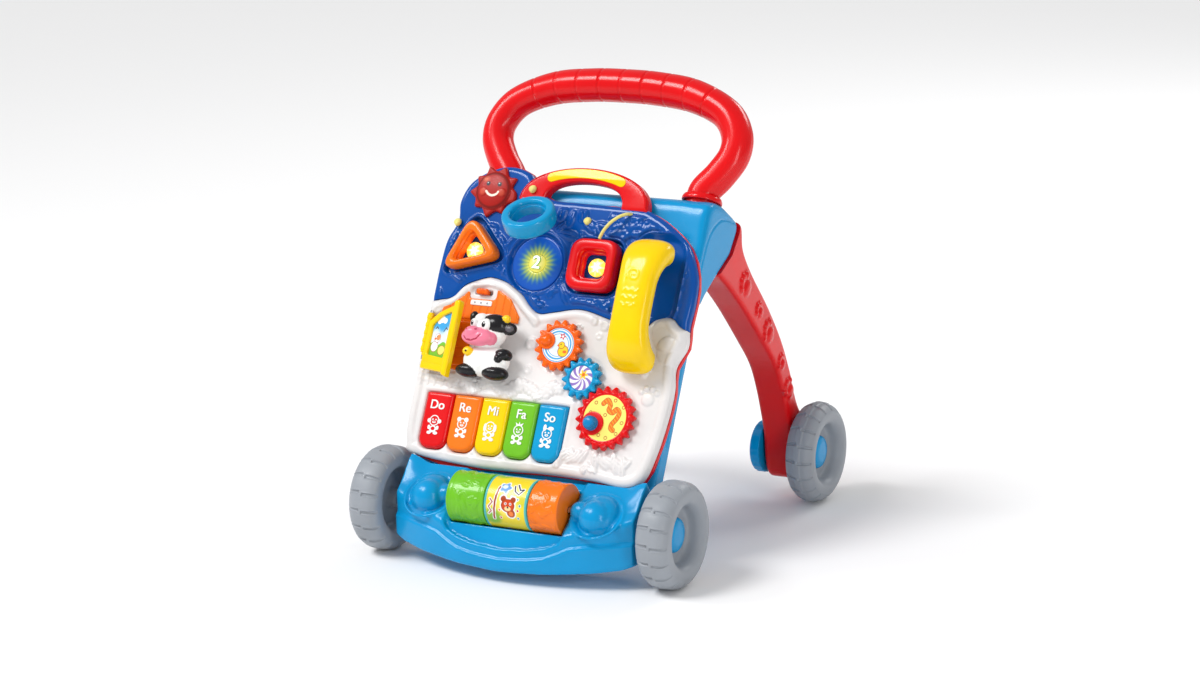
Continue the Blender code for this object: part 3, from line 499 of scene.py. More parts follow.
def smooth_line(points, steps=6, closed=False):
    """A Catmull-Rom curve through the points."""
    known = [Vector(p) for p in points]
    if closed:
        ends = [known[-1]] + known + known[:2]
    else:
        ends = [2 * known[0] - known[1]] + known + [2 * known[-1] - known[-2]]
    line = []
    for before, start, end, after in zip(ends, ends[1:], ends[2:], ends[3:]):
        for t in np.linspace(0, 1, steps, endpoint=False):
            line.append(0.5 * (2 * start + (end - before) * t
                               + (2 * before - 5 * start + 4 * end - after) * t ** 2
                               + (3 * start - before - 3 * end + after) * t ** 3))
    return line if closed else line + [known[-1]]


def even_line(points, step):
    """The same line with evenly spaced points."""
    line = np.array([tuple(p) for p in points], float)
    travel = np.concatenate(([0], np.cumsum(np.linalg.norm(np.diff(line, axis=0), axis=1))))
    count = max(2, int(travel[-1] / step) + 1)
    wanted = np.linspace(0, travel[-1], count)
    return np.stack([np.interp(wanted, travel, line[:, i]) for i in range(line.shape[1])], 1), wanted


def normals_of(line):
    """Unit vectors to the left of a flat line, one for each of its points."""
    tangent = np.gradient(line, axis=0)
    tangent /= np.linalg.norm(tangent, axis=1)[:, None]
    return np.stack((-tangent[:, 1], tangent[:, 0]), 1)


def ease(value, low, high):
    """0 up to low, 1 from high, and a soft S between."""
    t = np.clip((value - low) / (high - low), 0, 1)
    return t * t * (3 - 2 * t)


# ---------------------------------------------------------------- cord
CORD_ROUTE = [(31, 340.8, 7), (32.4, 344.2, 8), (36.6, 350, 10.6), (42.6, 356.8, 12),
              (49, 363, 10.6), (54.6, 367.4, 6.4), (57, 369, 0.6)]
CORD_RADIUS = 1.6
CORD_KNOTS = {"upper": (11, 359, 1.6), "corner": (-57, 387, 1.2), "left": (-133, 347, 2.4)}


def make_cord():
    """The square ring's cord, which runs into a hole beside the phone, and three cord knots."""
    line = [PANEL @ Vector(p) for p in smooth_line(CORD_ROUTE, 6)]
    string = add_object("ring_string", bead("ring_string", line, CORD_RADIUS * MM, 5))
    string.data.materials.append(CREAM)
    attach(string, "panel")
    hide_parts("ring_cord")
    length = sum((b - a).length for a, b in zip(line, line[1:]))
    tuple(line[0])
    for tag, (x, v, h) in CORD_KNOTS.items():
        knot = gather(egg((x, v, h), (4.2, 3.4, 3.2), turn(25, 'Z')),
                      egg((x + 1, v - 1, h + 0.6), (3.1, 4.0, 3.0), turn(-30, 'Z')))
        on_panel(f"cord_knot_{tag}", mould(knot, 0.5, 2), CREAM)


# ---------------------------------------------------------------- frame
def bow(x):
    return BASE_FRONT_Y + BOW * x * x


BASE_BOTTOM = [(0, 12), (50, 14), (95, 17.5), (120, 21), (131, 25)]
BASE_STEP = [(0, 25), (30, 27), (48, 30), (62, 36), (72, 41), (88, 43.5), (110, 45), (131, 47)]
SCOOP_LIP = [(0, 32.5), (30, 34.5), (48, 38), (58, 42), (69, 47)]


def along(table, x):
    """Value at |x| from a list of (distance from the middle, value)."""
    places, values = zip(*table)
    return float(np.interp(abs(x), places, values))


def slope_height(y):
    """Height of the sloping top of the base."""
    return 46 + 0.741 * (y + 213)


def base_section(x):
    """Side outline (y, z) of the base at x, from the bottom edge up its front and back."""
    front, bottom, step = bow(x), along(BASE_BOTTOM, x), along(BASE_STEP, x)
    top = max(slope_height(front + 5), step + 3)
    lip = along(SCOOP_LIP, x)
    scoop = [(front + 3.2, lip - 1.8), (front + 3.9, lip + 1.0), (front + 6.4, lip + 1.8),
             (front + 9.2, lip - 1.2), (-197, 52), (-180, 64), (-172, 70), (-160, 80), (-148, 88)]
    starts = np.linspace(front + 6.5, -152, 6)
    flank = 8 * ease(abs(x), 106, 131)
    deck = [(front + 3.2, top - 5), (front + 3.8, top - 1.8), (front + 4.8, top - 0.4)] \
        + [(y, slope_height(y) + flank * float(ease(y, -178, -154))) for y in starts]
    share = ease(abs(x), 61, 67)
    surface = [(a + (c - a) * share, b + (d - b) * share) for (a, b), (c, d) in zip(scoop, deck)]
    return [(front + 6, bottom - 0.5), (front + 1, bottom), (front, bottom + 3), (front, step - 1.5),
            (front + 0.8, step - 0.2), (front + 3.2, step + 0.9), *surface, (-140, 80), (-130, 76),
            (-122, 62), (-122, 20), (-126, bottom + 2), (-150, bottom - 0.5)]


def make_base():
    """The base block with its roller bay, as closed shapes that overlap."""
    stations = np.linspace(-FRAME_HALF, FRAME_HALF, 132)
    rings = [base_section(x) for x in stations]
    points = [(x, y, z) for x, ring in zip(stations, rings) for y, z in ring]
    count = len(rings[0])
    solid = mended(mesh_of(points, grid_faces(len(stations), count, False, True)), capped=True)
    slope = math.degrees(math.atan2(43, 58))
    additions, cuts = [], []
    for side in (-1, 1):
        seat = [turn(slope, 'X'), shift(side * DOME_X, -182, 69)]
        dish = lathe([(0, 30), (25.5, 30), (22, -1), (20.5, -2.6), (0, -2.6)], 72, closed=False)
        cuts.append(moved(dish, *seat))
        additions.append(egg((side * DOME_X, -183, 67.5), (17.4, 17.4, 17.4), segments=48))
        additions.append(egg((side * 93, -178.5, 69), (20.5, 21.5, 15), turn(slope, 'X'), 48))
        rim = [(24.6, 0.6), (25.6, 1.5), (26.8, 1.5), (27.8, 0.4), (27.6, -1.5), (24.8, -1.5)]
        additions.append(moved(lathe(rim, 72), *seat))
        additions.append(egg((side * 74, ROLLER_Y, ROLLER_Z), (11, 10, 10)))
    well = moved(cylinder(ROLLER_RADIUS + 1.4, -BAY_FLOOR_HALF, BAY_FLOOR_HALF, 96), turn(90, 'Y'),
                 shift(0, ROLLER_Y, ROLLER_Z))
    solid = boolean(solid, cuts + [well])
    return [solid] + additions


def make_shell():
    """The frame's leaning body, its shoulders and the base block, as one moulding."""
    face = [(86, -14), (384, -14), (391, -17), (396, -30), (397, -48), (393.5, -76), (390.5, -76),
            (386.6, -58), (373, -33), (352, -26), (326, -24), (297, -26), (80, -26)]
    plate = moved(across(fillet(face, 5), -FRAME_HALF, FRAME_HALF), *LEAN_BACK)
    opening = moved(box((-112, 111, -40), (112, 353, 0)), *LEAN_BACK)
    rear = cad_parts["frame_rear_shell"].data.copy()
    rear.transform(Matrix.Scale(1 / MM, 4))
    shell = mould(gather(boolean(plate, [opening]), rear, *make_base()), 1.15, 5)
    points = points_of(shell)
    upper = ease(points[:, 2], 270, 322) * ease(np.abs(points[:, 0]), 98, 116)
    melt(shell, upper, 80)
    points = points_of(shell)
    v = (points[:, 1] - PANEL_FOOT_Y) * math.sin(LEAN) + points[:, 2] * math.cos(LEAN)
    h = points[:, 2] * math.sin(LEAN) - (points[:, 1] - PANEL_FOOT_Y) * math.cos(LEAN)
    seam = distance_to_line(smooth_line(SHOULDER_SEAM, 6), v, h)
    side = ease(np.abs(points[:, 0]), 112, 122)
    points[:, 0] -= np.sign(points[:, 0]) * side * (0.9 * hump(seam, 0.95))
    set_points(shell, points)
    sockets = [moved(cylinder(HANDLE_RADIUS + 1, -30, 30), turn(90, 'X'),
                     shift(side * COLLAR_X, COLLAR_V, HANDLE_H), *LEAN_BACK) for side in (-1, 1)]
    place("frame_shell", boolean(shell, sockets), SKY, "frame", ["frame_front_shell", "frame_rear_shell"])


def make_handle():
    """The looped handle: a tube with a fuller, grooved grip and a seam on each side."""
    half = [(COLLAR_X, 374), (COLLAR_X, 396), (109, 409), (122, 426), (133, 447), (131.5, 468),
            (115, 489), (78, 504.5), (36, 510)]
    line = smooth_line(half + [(0, 511)] + [(-x, v) for x, v in reversed(half)], 12)
    path, travel = even_line(line, 0.8)
    middle = travel[-1] / 2
    radius = HANDLE_RADIUS - 0.2 + 1.1 * (1 - ease(abs(travel - middle), 60, 120))
    for index in range(-4, 5):
        radius -= 0.9 * hump(travel - (middle + index * 24.5), 0.9)
    normal = normals_of(path)
    around = round_angles(80)
    reach = radius[:, None] - 0.35 * hump(np.sin(around), 0.05)[None, :]
    points = np.stack((path[:, :1] + normal[:, :1] * np.cos(around) * reach,
                       path[:, 1:] + normal[:, 1:] * np.cos(around) * reach,
                       HANDLE_H + np.sin(around) * reach), -1).reshape(-1, 3)
    place("push_handle", mesh_of(points, grid_faces(len(path), len(around), False, True)), RED, "frame",
          ["handle_front_shell", "handle_rear_shell"], PANEL, SCULPTED)
    profile = fillet([(HANDLE_RADIUS + 0.4, 6.4), (HANDLE_RADIUS + 2.4, 6.4), (HANDLE_RADIUS + 4.2, 3),
                      (HANDLE_RADIUS + 4.2, 0), (HANDLE_RADIUS + 0.4, 0)], 1.2)
    for side, tag in SIDES:
        mesh = moved(lathe(profile, 80), turn(-90, 'X'), shift(side * COLLAR_X, COLLAR_V, HANDLE_H))
        place(f"collar_{tag}", mesh, RED, "frame", [f"handle_collar_{tag}"], PANEL)


LEG_OUTLINE = [
    (-4, 276), (24, 250), (55, 221), (90, 183), (118, 150), (131, 122), (139, 95), (144, 72),
    (145, 45), (150, 28), (161, 22), (174, 25), (185, 37), (188, 56), (181, 78), (166, 98),
    (158, 115), (151, 138), (134, 175), (108, 214), (74, 256), (58, 283), (57, 306), (40, 312),
    (10, 300),
]
SHOULDER = [(297, -26.3), (326, -24.3), (352, -26.3), (373, -33.4), (386.3, -58.4), (390, -76.5),
            (393.5, -76.4), (391, -85), (383, -87), (357, -79), (334, -61), (306, -42), (294, -36)]
LEG_SPLAY = 0.042
SHOULDER_SEAM = [(150, -22), (260, -22), (330, -22), (362, -27), (380, -42), (386, -58), (388, -74)]
PAW_PLACES = [(60, 243, 1.45), (86, 213, 0.95), (106, 186, 1.4), (131, 150, 0.95), (146, 118, 1.3)]
PAW_HEADING = math.radians(38)
PAW_RISE = 2.6
LEG_INSIDE, LEG_OUTSIDE = 100, 133


def paw(y, z, size, heading):
    """A raised animal print: one broad pad and four toes."""
    toes = [(a, b, 2.5, 3.1) for a, b in ((6, 7.2), (1.9, 9.8), (-2.6, 9.4), (-6.4, 6.4))]
    cosine, sine = math.cos(heading), math.sin(heading)
    pads = []
    for a, b, radius_a, radius_b in [(0, 0, 6.2, 4.8)] + toes:
        centre = (0, y + size * (a * cosine - b * sine), z + size * (a * sine + b * cosine))
        radii = (PAW_RISE, size * radius_a, size * radius_b)
        pads.append(egg(centre, radii, turn(math.degrees(heading), 'X'), 20))
    return pads


def make_legs():
    """The rear legs: curved beams with raised animal prints, cut to fit the shoulders."""
    outline = smooth_line(LEG_OUTLINE, 5, closed=True)
    for side, tag in SIDES:
        low, high = sorted((side * LEG_INSIDE, side * LEG_OUTSIDE))
        beam = across(outline, low, high, edge=4, steps=3)
        prints = [moved(pad, shift(side * LEG_OUTSIDE, 0, 0)) for y, z, size in PAW_PLACES
                  for pad in paw(y, z, size, PAW_HEADING)]
        splay = Matrix.Identity(4)
        splay[0][2] = -side * LEG_SPLAY
        splay[0][3] = side * LEG_SPLAY * 280
        leg = moved(gather(beam, *prints), splay)
        boss = moved(cylinder(20, -1, 4), turn(side * 90, 'Y'),
                     shift(side * 141.6, REAR_AXLE_Y, WHEEL_RADIUS))
        leg = mould(gather(leg, boss), 1.1, 4)
        room = moved(across(fillet(SHOULDER, 3), -150, 150, grow=0.4), *LEAN_BACK)
        place(f"leg_{tag}", boolean(leg, [room]), RED, "frame", [f"rear_leg_{tag}", f"leg_cover_{tag}"])


# ---------------------------------------------------------------- wheels and rollers
TYRE_BARS = 18


def wheel_mesh(width, ribbed):
    """A round-shouldered tyre with two rows of sunken bars and a deeply dished centre."""
    half = width / 2
    profile = fillet([(33, half), (40.5, half + 0.9), (46.5, half - 1.2), (50.6, half - 6),
                      (WHEEL_RADIUS, half - 12), (WHEEL_RADIUS, 12 - half), (50.6, 6 - half),
                      (46.5, 1.2 - half), (40, -half),
                      (34, 1.4 - half), (30, 5 - half), (28, -1.5), (9, -3.5), (9, 2 - half), (4, 2 - half),
                      (4, 2.2), (16, 2.2), (25, 1.5), (27.5, 3.5), (29, half - 5)], 3.4, 5)
    line, _ = even_line(profile + [profile[0]], 0.7)
    line = line[:-1]
    steps = 540
    angles = round_angles(steps)
    radius = np.repeat(line[:, :1], steps, 1)
    height = np.repeat(line[:, 1:], steps, 1)
    tread = ease(radius, 42, 47)
    pitch = 2 * math.pi * WHEEL_RADIUS / TYRE_BARS
    for start, end, phase in ((0.10, 0.97, 0.0), (-0.95, -0.06, 0.12)):
        offset = np.abs(((angles * TYRE_BARS / (2 * math.pi) + phase) % 1) - 0.5)[None, :] * pitch
        share = height / half
        ends = np.maximum(start - share, share - end) * half
        bar = np.maximum(offset - 1.5, ends)
        radius -= tread * (1.5 * ease(-bar, -0.35, 0.5) - 0.3 * hump(bar - 0.7, 0.45))
    radius -= 0.35 * tread
    if ribbed:
        radius -= 0.8 * tread * ease(np.abs(height), 3.6, 4.6)
    points = np.stack((radius * np.cos(angles), radius * np.sin(angles), height), -1).reshape(-1, 3)
    return mesh_of(points, grid_faces(len(line), steps, True, True), None)


def make_wheels():
    """Tyres, hub caps and the two speed dials."""
    cap = fillet([(0, 7.6), (10, 7.2), (15.5, 5.6), (17, 3), (17, 2.4), (0, 2.4)], 1.5, closed=False)
    for end, x, y, width in (("front", FRONT_WHEEL_X, FRONT_AXLE_Y, 34),
                             ("rear", REAR_WHEEL_X, REAR_AXLE_Y, 30)):
        for side, tag in SIDES:
            seat = (turn(side * 90, 'Y'), shift(side * x, y, WHEEL_RADIUS))
            body = f"{end}_{tag}_wheel"
            place(f"{end}_tyre_{tag}", moved(wheel_mesh(width, end == "rear"), *seat), GREY, body,
                  [f"{end}_wheel_{tag}"], sharp=ROUNDED)
            place(f"{end}_cap_{tag}", moved(lathe(cap, 64, closed=False), *seat), SKY, body,
                  [f"{end}_hub_cap_{tag}"])
    dial = fillet([(22, 6), (25.5, 5.4), (27, 3.6), (27, -5.4), (4, -5.4), (4, 4.4), (18, 4.4)], 1)
    for side, tag in SIDES:
        mesh = lathe(dial, 144)
        points = points_of(mesh)
        reach = np.hypot(points[:, 0], points[:, 1])
        angle = np.arctan2(points[:, 1], points[:, 0])
        points[:, :2] *= (1 - 0.02 * ease(reach, 25, 26.9) * (0.5 + 0.5 * np.cos(angle * 24)))[:, None]
        set_points(mesh, points)
        seat = (turn(-side * 90, 'Y'), shift(side * 101.8, REAR_AXLE_Y, WHEEL_RADIUS))
        place(f"dial_{tag}", moved(mesh, *seat), SKY, f"{tag}_dial", [f"speed_dial_{tag}"])


# ---------------------------------------------------------------- relief tools
def distance_to(outline, x, v):
    """Signed distance from a closed outline, negative inside it."""
    corners = [tuple(p)[:2] for p in outline]
    closed = corners + corners[:1]
    inside = np.zeros(x.shape, bool)
    for (ax, av), (bx, bv) in zip(closed, closed[1:]):
        if abs(bv - av) > 1e-12:
            inside ^= ((av > v) != (bv > v)) & (x < ax + (v - av) * (bx - ax) / (bv - av))
    return np.where(inside, -1, 1) * distance_to_line(closed, x, v)


def distance_to_line(line, x, v):
    """Distance from an open line of points."""
    nearest = np.full(x.shape, 1e9)
    for (ax, av), (bx, bv) in zip(line, line[1:]):
        run, climb = bx - ax, bv - av
        t = np.clip(((x - ax) * run + (v - av) * climb) / (run * run + climb * climb + 1e-12), 0, 1)
        nearest = np.minimum(nearest, (x - ax - t * run) ** 2 + (v - av - t * climb) ** 2)
    return np.sqrt(nearest)


def relief(edge, height, base, reach, step):
    """A skin over the area where edge(x, v) is negative, with side walls down to base.

    height(x, v, distance) gives its surface; reach is (low x, low v, high x, high v).
    """
    x, v = np.meshgrid(np.arange(reach[0], reach[2] + step, step),
                       np.arange(reach[1], reach[3] + step, step), indexing='ij')
    distance = edge(x, v)
    inside = distance < 0
    corners = inside[:-1, :-1] | inside[1:, :-1] | inside[1:, 1:] | inside[:-1, 1:]
    tiny = 0.05
    for _ in range(3):
        stray = (distance > 0) & (distance < 2.5 * step)
        px, pv, gap = x[stray], v[stray], distance[stray]
        slope_x = (edge(px + tiny, pv) - edge(px - tiny, pv)) / (2 * tiny)
        slope_v = (edge(px, pv + tiny) - edge(px, pv - tiny)) / (2 * tiny)
        size = slope_x ** 2 + slope_v ** 2 + 1e-9
        x[stray] = px - gap * slope_x / size
        v[stray] = pv - gap * slope_v / size
        distance[stray] = edge(x[stray], v[stray])
    index = np.arange(x.size).reshape(x.shape)
    quads = np.stack((index[:-1, :-1], index[1:, :-1], index[1:, 1:], index[:-1, 1:]), -1)[corners]
    points = np.stack((x, v, height(x, v, np.minimum(distance, 0))), -1).reshape(-1, 3)
    sides = np.concatenate([quads[:, [a, (a + 1) % 4]] for a in range(4)])
    lonely = ~np.isin(sides[:, 0] * x.size + sides[:, 1], sides[:, 1] * x.size + sides[:, 0])
    rim = sides[lonely]
    used, renumbered = np.unique(quads, return_inverse=True)
    number = np.zeros(x.size, int)
    number[used] = np.arange(len(used))
    quads = renumbered.reshape(-1, 4)
    points = points[used]
    rim_points, rim_number = np.unique(number[rim], return_inverse=True)
    rim_number = rim_number.reshape(-1, 2) + len(points)
    lowered = points[rim_points].copy()
    lowered[:, 2] = base
    walls = np.stack((number[rim[:, 1]], number[rim[:, 0]], rim_number[:, 0], rim_number[:, 1]), -1)
    return mesh_of(np.concatenate((points, lowered)), np.concatenate((quads, walls)), None)


def round_edge(distance, radius):
    """How far a surface drops near its edge, for a rim rounded to a radius."""
    inner = np.clip(distance + radius, 0, radius)
    return np.sqrt(np.maximum(radius * radius - inner * inner, 0)) - radius


def hump(distance, width):
    """A soft ridge of height 1 round distance 0."""
    return np.exp(-(distance / width) ** 2)


def leaf(x, v, at, size, heading, height):
    """A raised leaf with a middle vein."""
    cosine, sine = math.cos(heading), math.sin(heading)
    a = ((x - at[0]) * cosine + (v - at[1]) * sine) / size
    b = ((v - at[1]) * cosine - (x - at[0]) * sine) / (0.42 * size)
    body = np.clip(1 - a * a - b * b * np.maximum(1 + 0.6 * a, 0.4), 0, 1)
    return height * np.sqrt(body) * (1 - 0.55 * hump(b, 0.16))


def puff(x, v, at, radius, height):
    """A raised round dome."""
    return height * np.sqrt(np.clip(1 - ((x - at[0]) ** 2 + (v - at[1]) ** 2) / radius ** 2, 0, 1))


def scallops(x, v, at, radius, count, height, start=0):
    """A curly cloud: domes set round a bigger one."""
    result = puff(x, v, at, radius, height)
    for index in range(count):
        angle = math.radians(start + 360 * index / count)
        spot = (at[0] + 0.8 * radius * math.cos(angle), at[1] + 0.8 * radius * math.sin(angle))
        result = np.maximum(result, puff(x, v, spot, 0.48 * radius, height))
    return result


# ---------------------------------------------------------------- panel faces
PANEL_OUTLINE = [
    (-131, 111), (-52, 105), (14, 107), (69, 106), (104, 103), (122, 112), (130, 137),
    (135, 172), (136, 201), (133, 224), (141, 245), (139, 265), (140, 290), (137, 315),
    (123, 343), (101, 361), (82, 371), (64, 376), (0, 377.5), (-36, 379), (-54, 391),
    (-66, 404), (-89, 409), (-111, 403), (-130, 389), (-138, 369), (-136, 349),
    (-144, 328), (-146, 300), (-146, 268), (-147, 224), (-145, 183), (-145, 148), (-141, 122),
]
WHITE_EDGE = [
    (-160, 262), (-137, 267.5), (-121, 272), (-112, 284), (-98, 291), (-84, 294.5), (-66, 291),
    (-47, 281), (-33, 268), (-22, 263), (-6, 266), (22, 271), (55, 264), (88, 256), (104, 268),
    (121, 271), (134, 262), (160, 255),
]
FACE_DEPTH, FACE_STEP = -9, 0.9
FACE_REACH = (-150, 98, 146, 412)
WHOLE_PANEL = smooth_line(PANEL_OUTLINE, 6, closed=True)
LOWER_REGION = [(-175, 80), (175, 80), *reversed(smooth_line(WHITE_EDGE, 7))]
KEY_PITCH, KEY_WIDTH, KEY_CORNER = 31.6, 30.6, 11
KEY_FIRST_X, KEY_TOP, KEY_FOOT = -111.2, 173.5, 117.5
CIRCLE_WELL, SQUARE_WELL, TRIANGLE_WELL = (-37, 313), (29, 314), (-110, 320)
SUN_AT, SWITCH_AT = (-99, 381), (-87, 278)
WELL_RADIUS = SUN_PAD_RADIUS = 31
GEARS = {"red": (75, 166, 20), "blue": (41.24, 202.20, 13), "orange": (9.43, 231.87, 16)}
TOOTH_REACH = 1.5                       # a gear's radius for each of its teeth


def triangle(grow=0.0):
    """Corners of the triangle ring about its middle, moved outwards."""
    return [(x * (1 + 2 * grow / math.hypot(x, v)), v * (1 + 2 * grow / math.hypot(x, v)))
            for x, v in ((-4, 35), (-28, -25), (37, -6))]


def box_distance(x, v, at, half_x, half_v, corner):
    """Distance from a box with rounded corners."""
    a = np.abs(x - at[0]) - half_x + corner
    b = np.abs(v - at[1]) - half_v + corner
    outside = np.hypot(np.maximum(a, 0), np.maximum(b, 0))
    return outside + np.minimum(np.maximum(a, b), 0) - corner


def key_outline(x, v, middle, grow=0.0):
    """Distance from a key's outline, which is square on top and round at the foot."""
    side = np.abs(x - middle) - (KEY_WIDTH / 2 + grow)
    low, corner = KEY_FOOT - grow, KEY_CORNER + grow
    corner_a, corner_b = side + corner, low + corner - v
    foot = np.where((corner_a > 0) & (corner_b > 0), np.hypot(corner_a, corner_b) - corner,
                    np.maximum(side, low - v))
    return np.maximum(foot, v - KEY_TOP - grow)


def key_distance(x, v, grow=0.0):
    """Distance from the nearest key's outline."""
    index = np.clip(np.round((x - KEY_FIRST_X) / KEY_PITCH), 0, len(KEY_TAGS) - 1)
    return key_outline(x, v, KEY_FIRST_X + index * KEY_PITCH, grow)


def lower_distance(x, v):
    """Distance from the lower face's outline, with the key bay not yet cut."""
    return np.maximum(distance_to(WHOLE_PANEL, x, v), distance_to(LOWER_REGION, x, v))


def white_edge_distance(x, v):
    return np.maximum(lower_distance(x, v) + 0.15, -key_distance(x, v, 0.5))


def white_height(x, v, distance):
    """The lower face: a rolled rim, the barn's outline and raised farm scenery."""
    edge = lower_distance(x, v)
    height = 0.8 + 0.9 * round_edge(edge, 5.5)
    height -= 1.3 * ease(-edge, 7, 11)
    height += 1.1 * round_edge(-key_distance(x, v, 0.5), 2.5) * (key_distance(x, v, 0.5) < 3)
    height += 0.8 * hump(key_distance(x, v) - 4, 2.5)
    roof = distance_to_line([(-139, 254), (-121, 267), (-108, 279), (-84, 289.5), (-66, 286), (-48, 275),
                             (-24, 254)], x, v)
    switch_travel = box_distance(x, v, SWITCH_AT, 12, 3.6, 2)
    height += 2.2 * ease(-roof, -6.0, -2.5) * ease(switch_travel, 0, 2)
    bulge = puff(x, v, (124, 256), 20, 5) + puff(x, v, (126, 238), 14, 3)
    height += bulge * ease(-edge, 0, 6)
    for at, radius, lift in (((52, 257), 6, 1.8), ((62, 259), 5, 1.6), ((40, 260), 4.5, 1.5),
                             ((48, 246), 4, 0.8), ((-24, 232), 7, 1.6), ((-22, 206), 5, 1.3),
                             ((66, 250), 5, 1.4), ((60, 240), 4, 1.2)):
        dimple = puff(x, v, at, radius * 0.55, lift * 0.6)
        height += np.maximum(puff(x, v, at, radius, lift) - dimple, 0)
    shaped = random.Random(11)
    wool = np.zeros_like(x)
    for index in range(24):
        at = (-104 + index * 5.2 + shaped.uniform(-1.5, 1.5), 187 + 4.5 * math.sin(index * 0.9)
              + shaped.uniform(-2, 2))
        wool = np.maximum(wool, scallops(x, v, at, shaped.uniform(4.6, 6.6), 6, 2.0, shaped.uniform(0, 70)))
    height += wool
    rails = [([(-141, 192 - 6 * row), (-112, 190 - 6 * row)], 1.1) for row in range(2)]
    posts = [([(-138 + 8 * index, 181), (-138 + 8 * index, 196)], 1.2) for index in range(4)]
    for line, wide in rails + posts:
        height += 0.9 * hump(distance_to_line(line, x, v), wide)
    bush = np.zeros_like(x)
    for index in range(26):
        at = (28 + 3.1 * index + shaped.uniform(-2, 2), 122 + shaped.uniform(-6, 8))
        bush = np.maximum(bush, leaf(x, v, at, shaped.uniform(6, 10), shaped.uniform(0.3, 2.8), 2.3))
    height += bush
    for at, size in (((113, 190), 1.0), ((104, 214), 0.6), ((24, 250), 0.45)):
        height += puff(x, v, at, 7 * size, 2.2)
        for spread in (-52, -18, 18, 52):
            toe = (at[0] + 10.5 * size * math.sin(math.radians(spread)),
                   at[1] + 10.5 * size * math.cos(math.radians(spread)))
            height += puff(x, v, toe, 3.0 * size, 2.0)
    for gx, gv, teeth in GEARS.values():
        around = np.hypot(x - gx, v - gv) - (TOOTH_REACH * teeth + 2.6)
        height -= 0.5 * ease(-around, -1.5, 0.5)
    height += 1.6 * ease(-box_distance(x, v, SWITCH_AT, 15.5, 7.5, 4), -1.5, 0)
    height -= 0.6 * ease(-box_distance(x, v, SWITCH_AT, 10, 2.8, 2), -0.4, 0.4)
    switch_slot = 7 * ease(-box_distance(x, v, SWITCH_AT, 9.6, 2.4, 1.5), 0, 0.6)
    return np.maximum(height, FACE_DEPTH + 1) - switch_slot


def blue_edge_distance(x, v):
    return np.maximum(distance_to(WHOLE_PANEL, x, v), -distance_to(LOWER_REGION, x, v) + 0.1)


def blue_height(x, v, distance):
    """The upper face: sky and tree relief, wells for the rings and the phone's cradle."""
    outline, border = distance_to(WHOLE_PANEL, x, v), distance_to(LOWER_REGION, x, v)
    height = 0.9 * round_edge(outline, 6)
    height -= hump(border, 3)
    circle = np.hypot(x - CIRCLE_WELL[0], v - CIRCLE_WELL[1]) - WELL_RADIUS
    square = box_distance(x, v, SQUARE_WELL, 27.5, 27.5, 11)
    corners = [(TRIANGLE_WELL[0] + a, TRIANGLE_WELL[1] + b) for a, b in triangle(3)]
    three = distance_to(fillet(corners, 17, 6), x, v)
    phone = box_distance(x, v, (97, 308), 27, 44, 17)
    wells = np.minimum(np.minimum(circle, square), np.minimum(three, phone))
    shaped = random.Random(5)
    scenery = np.zeros_like(x)
    for _ in range(70):
        at = (shaped.uniform(-140, 70), shaped.uniform(262, 372))
        scenery = np.maximum(scenery, leaf(x, v, at, shaped.uniform(8, 13), shaped.uniform(0, math.pi),
                                           shaped.uniform(1.2, 2.1)))
    clouds = ((16, (40, 124), (346, 372), (7, 10.5), 6, 1.9), (14, (-50, 60), (266, 292), (6, 9), 5, 1.8))
    for number, over_x, over_v, sizes, puffs, lift in clouds:
        for _ in range(number):
            at = (shaped.uniform(*over_x), shaped.uniform(*over_v))
            scenery = np.maximum(scenery, scallops(x, v, at, shaped.uniform(*sizes), puffs, lift,
                                                   shaped.uniform(0, 60)))
    for index in range(5):
        scenery = np.maximum(scenery, puff(x, v, (127 - index, 330 - 15 * index), 3.5 + index % 2, 1.4))
    clear = ease(wells, 2, 4.5) * ease(-outline, 6, 10) * ease(border, 3, 7)
    sun_pad = np.hypot(x - SUN_AT[0], v - SUN_AT[1]) - SUN_PAD_RADIUS
    height += 1.7 * scenery * clear * ease(sun_pad, 0, 3)
    height += 1.6 * hump(wells - 1.4, 1.2) * ease(-outline, 1, 4)
    for well, depth, low, high in ((np.minimum(square, three), 5.0, -0.4, 1.2), (circle, 4.4, -0.4, 1.6),
                                   (phone, 4.6, -1, 7)):
        height -= depth * ease(-well, low, high)
    return np.maximum(height, FACE_DEPTH + 1.5)


def make_faces():
    """The panel's lower and upper face."""
    for name, edge, height, look, node in (
            ("lower_face", white_edge_distance, white_height, WHITE, "white_face"),
            ("upper_face", blue_edge_distance, blue_height, DARK_BLUE, "blue_face")):
        mesh = relief(edge, height, FACE_DEPTH, FACE_REACH, FACE_STEP)
        on_panel(name, mesh, look, [node], SCULPTED)


# ---------------------------------------------------------------- printed pictures
SNOW, INK, GOLD = colour_of(246, 246, 244), colour_of(38, 36, 46), colour_of(252, 206, 30)
FLAME, LEAF, CLOUD = colour_of(240, 110, 24), colour_of(122, 190, 52), colour_of(222, 240, 252)
DAYLIGHT, VIOLET = colour_of(64, 164, 222), colour_of(140, 112, 190)
BARK, CHERRY, TEAL = colour_of(166, 66, 26), colour_of(206, 26, 34), colour_of(20, 140, 176)
BUTTER = colour_of(250, 232, 116)


def layer(colours, distance, colour, soft=0.14):
    """Lay a colour over the area where distance is below zero."""
    share = (1 - ease(distance, -soft, soft))[..., None]
    return colours * (1 - share) + np.array(colour[:3]) * share


def spot(x, v, at, radius, squash=1.0):
    """Distance from a circle, or from an upright oval when squash isn't 1."""
    return np.hypot(x - at[0], (v - at[1]) / squash) - radius


def flower(x, v, at, radius, petals, depth=0.26):
    """Distance from a round flower's outline."""
    around = np.arctan2(v - at[1], x - at[0])
    return np.hypot(x - at[0], v - at[1]) - radius * (1 - depth + depth * np.cos(petals * around))


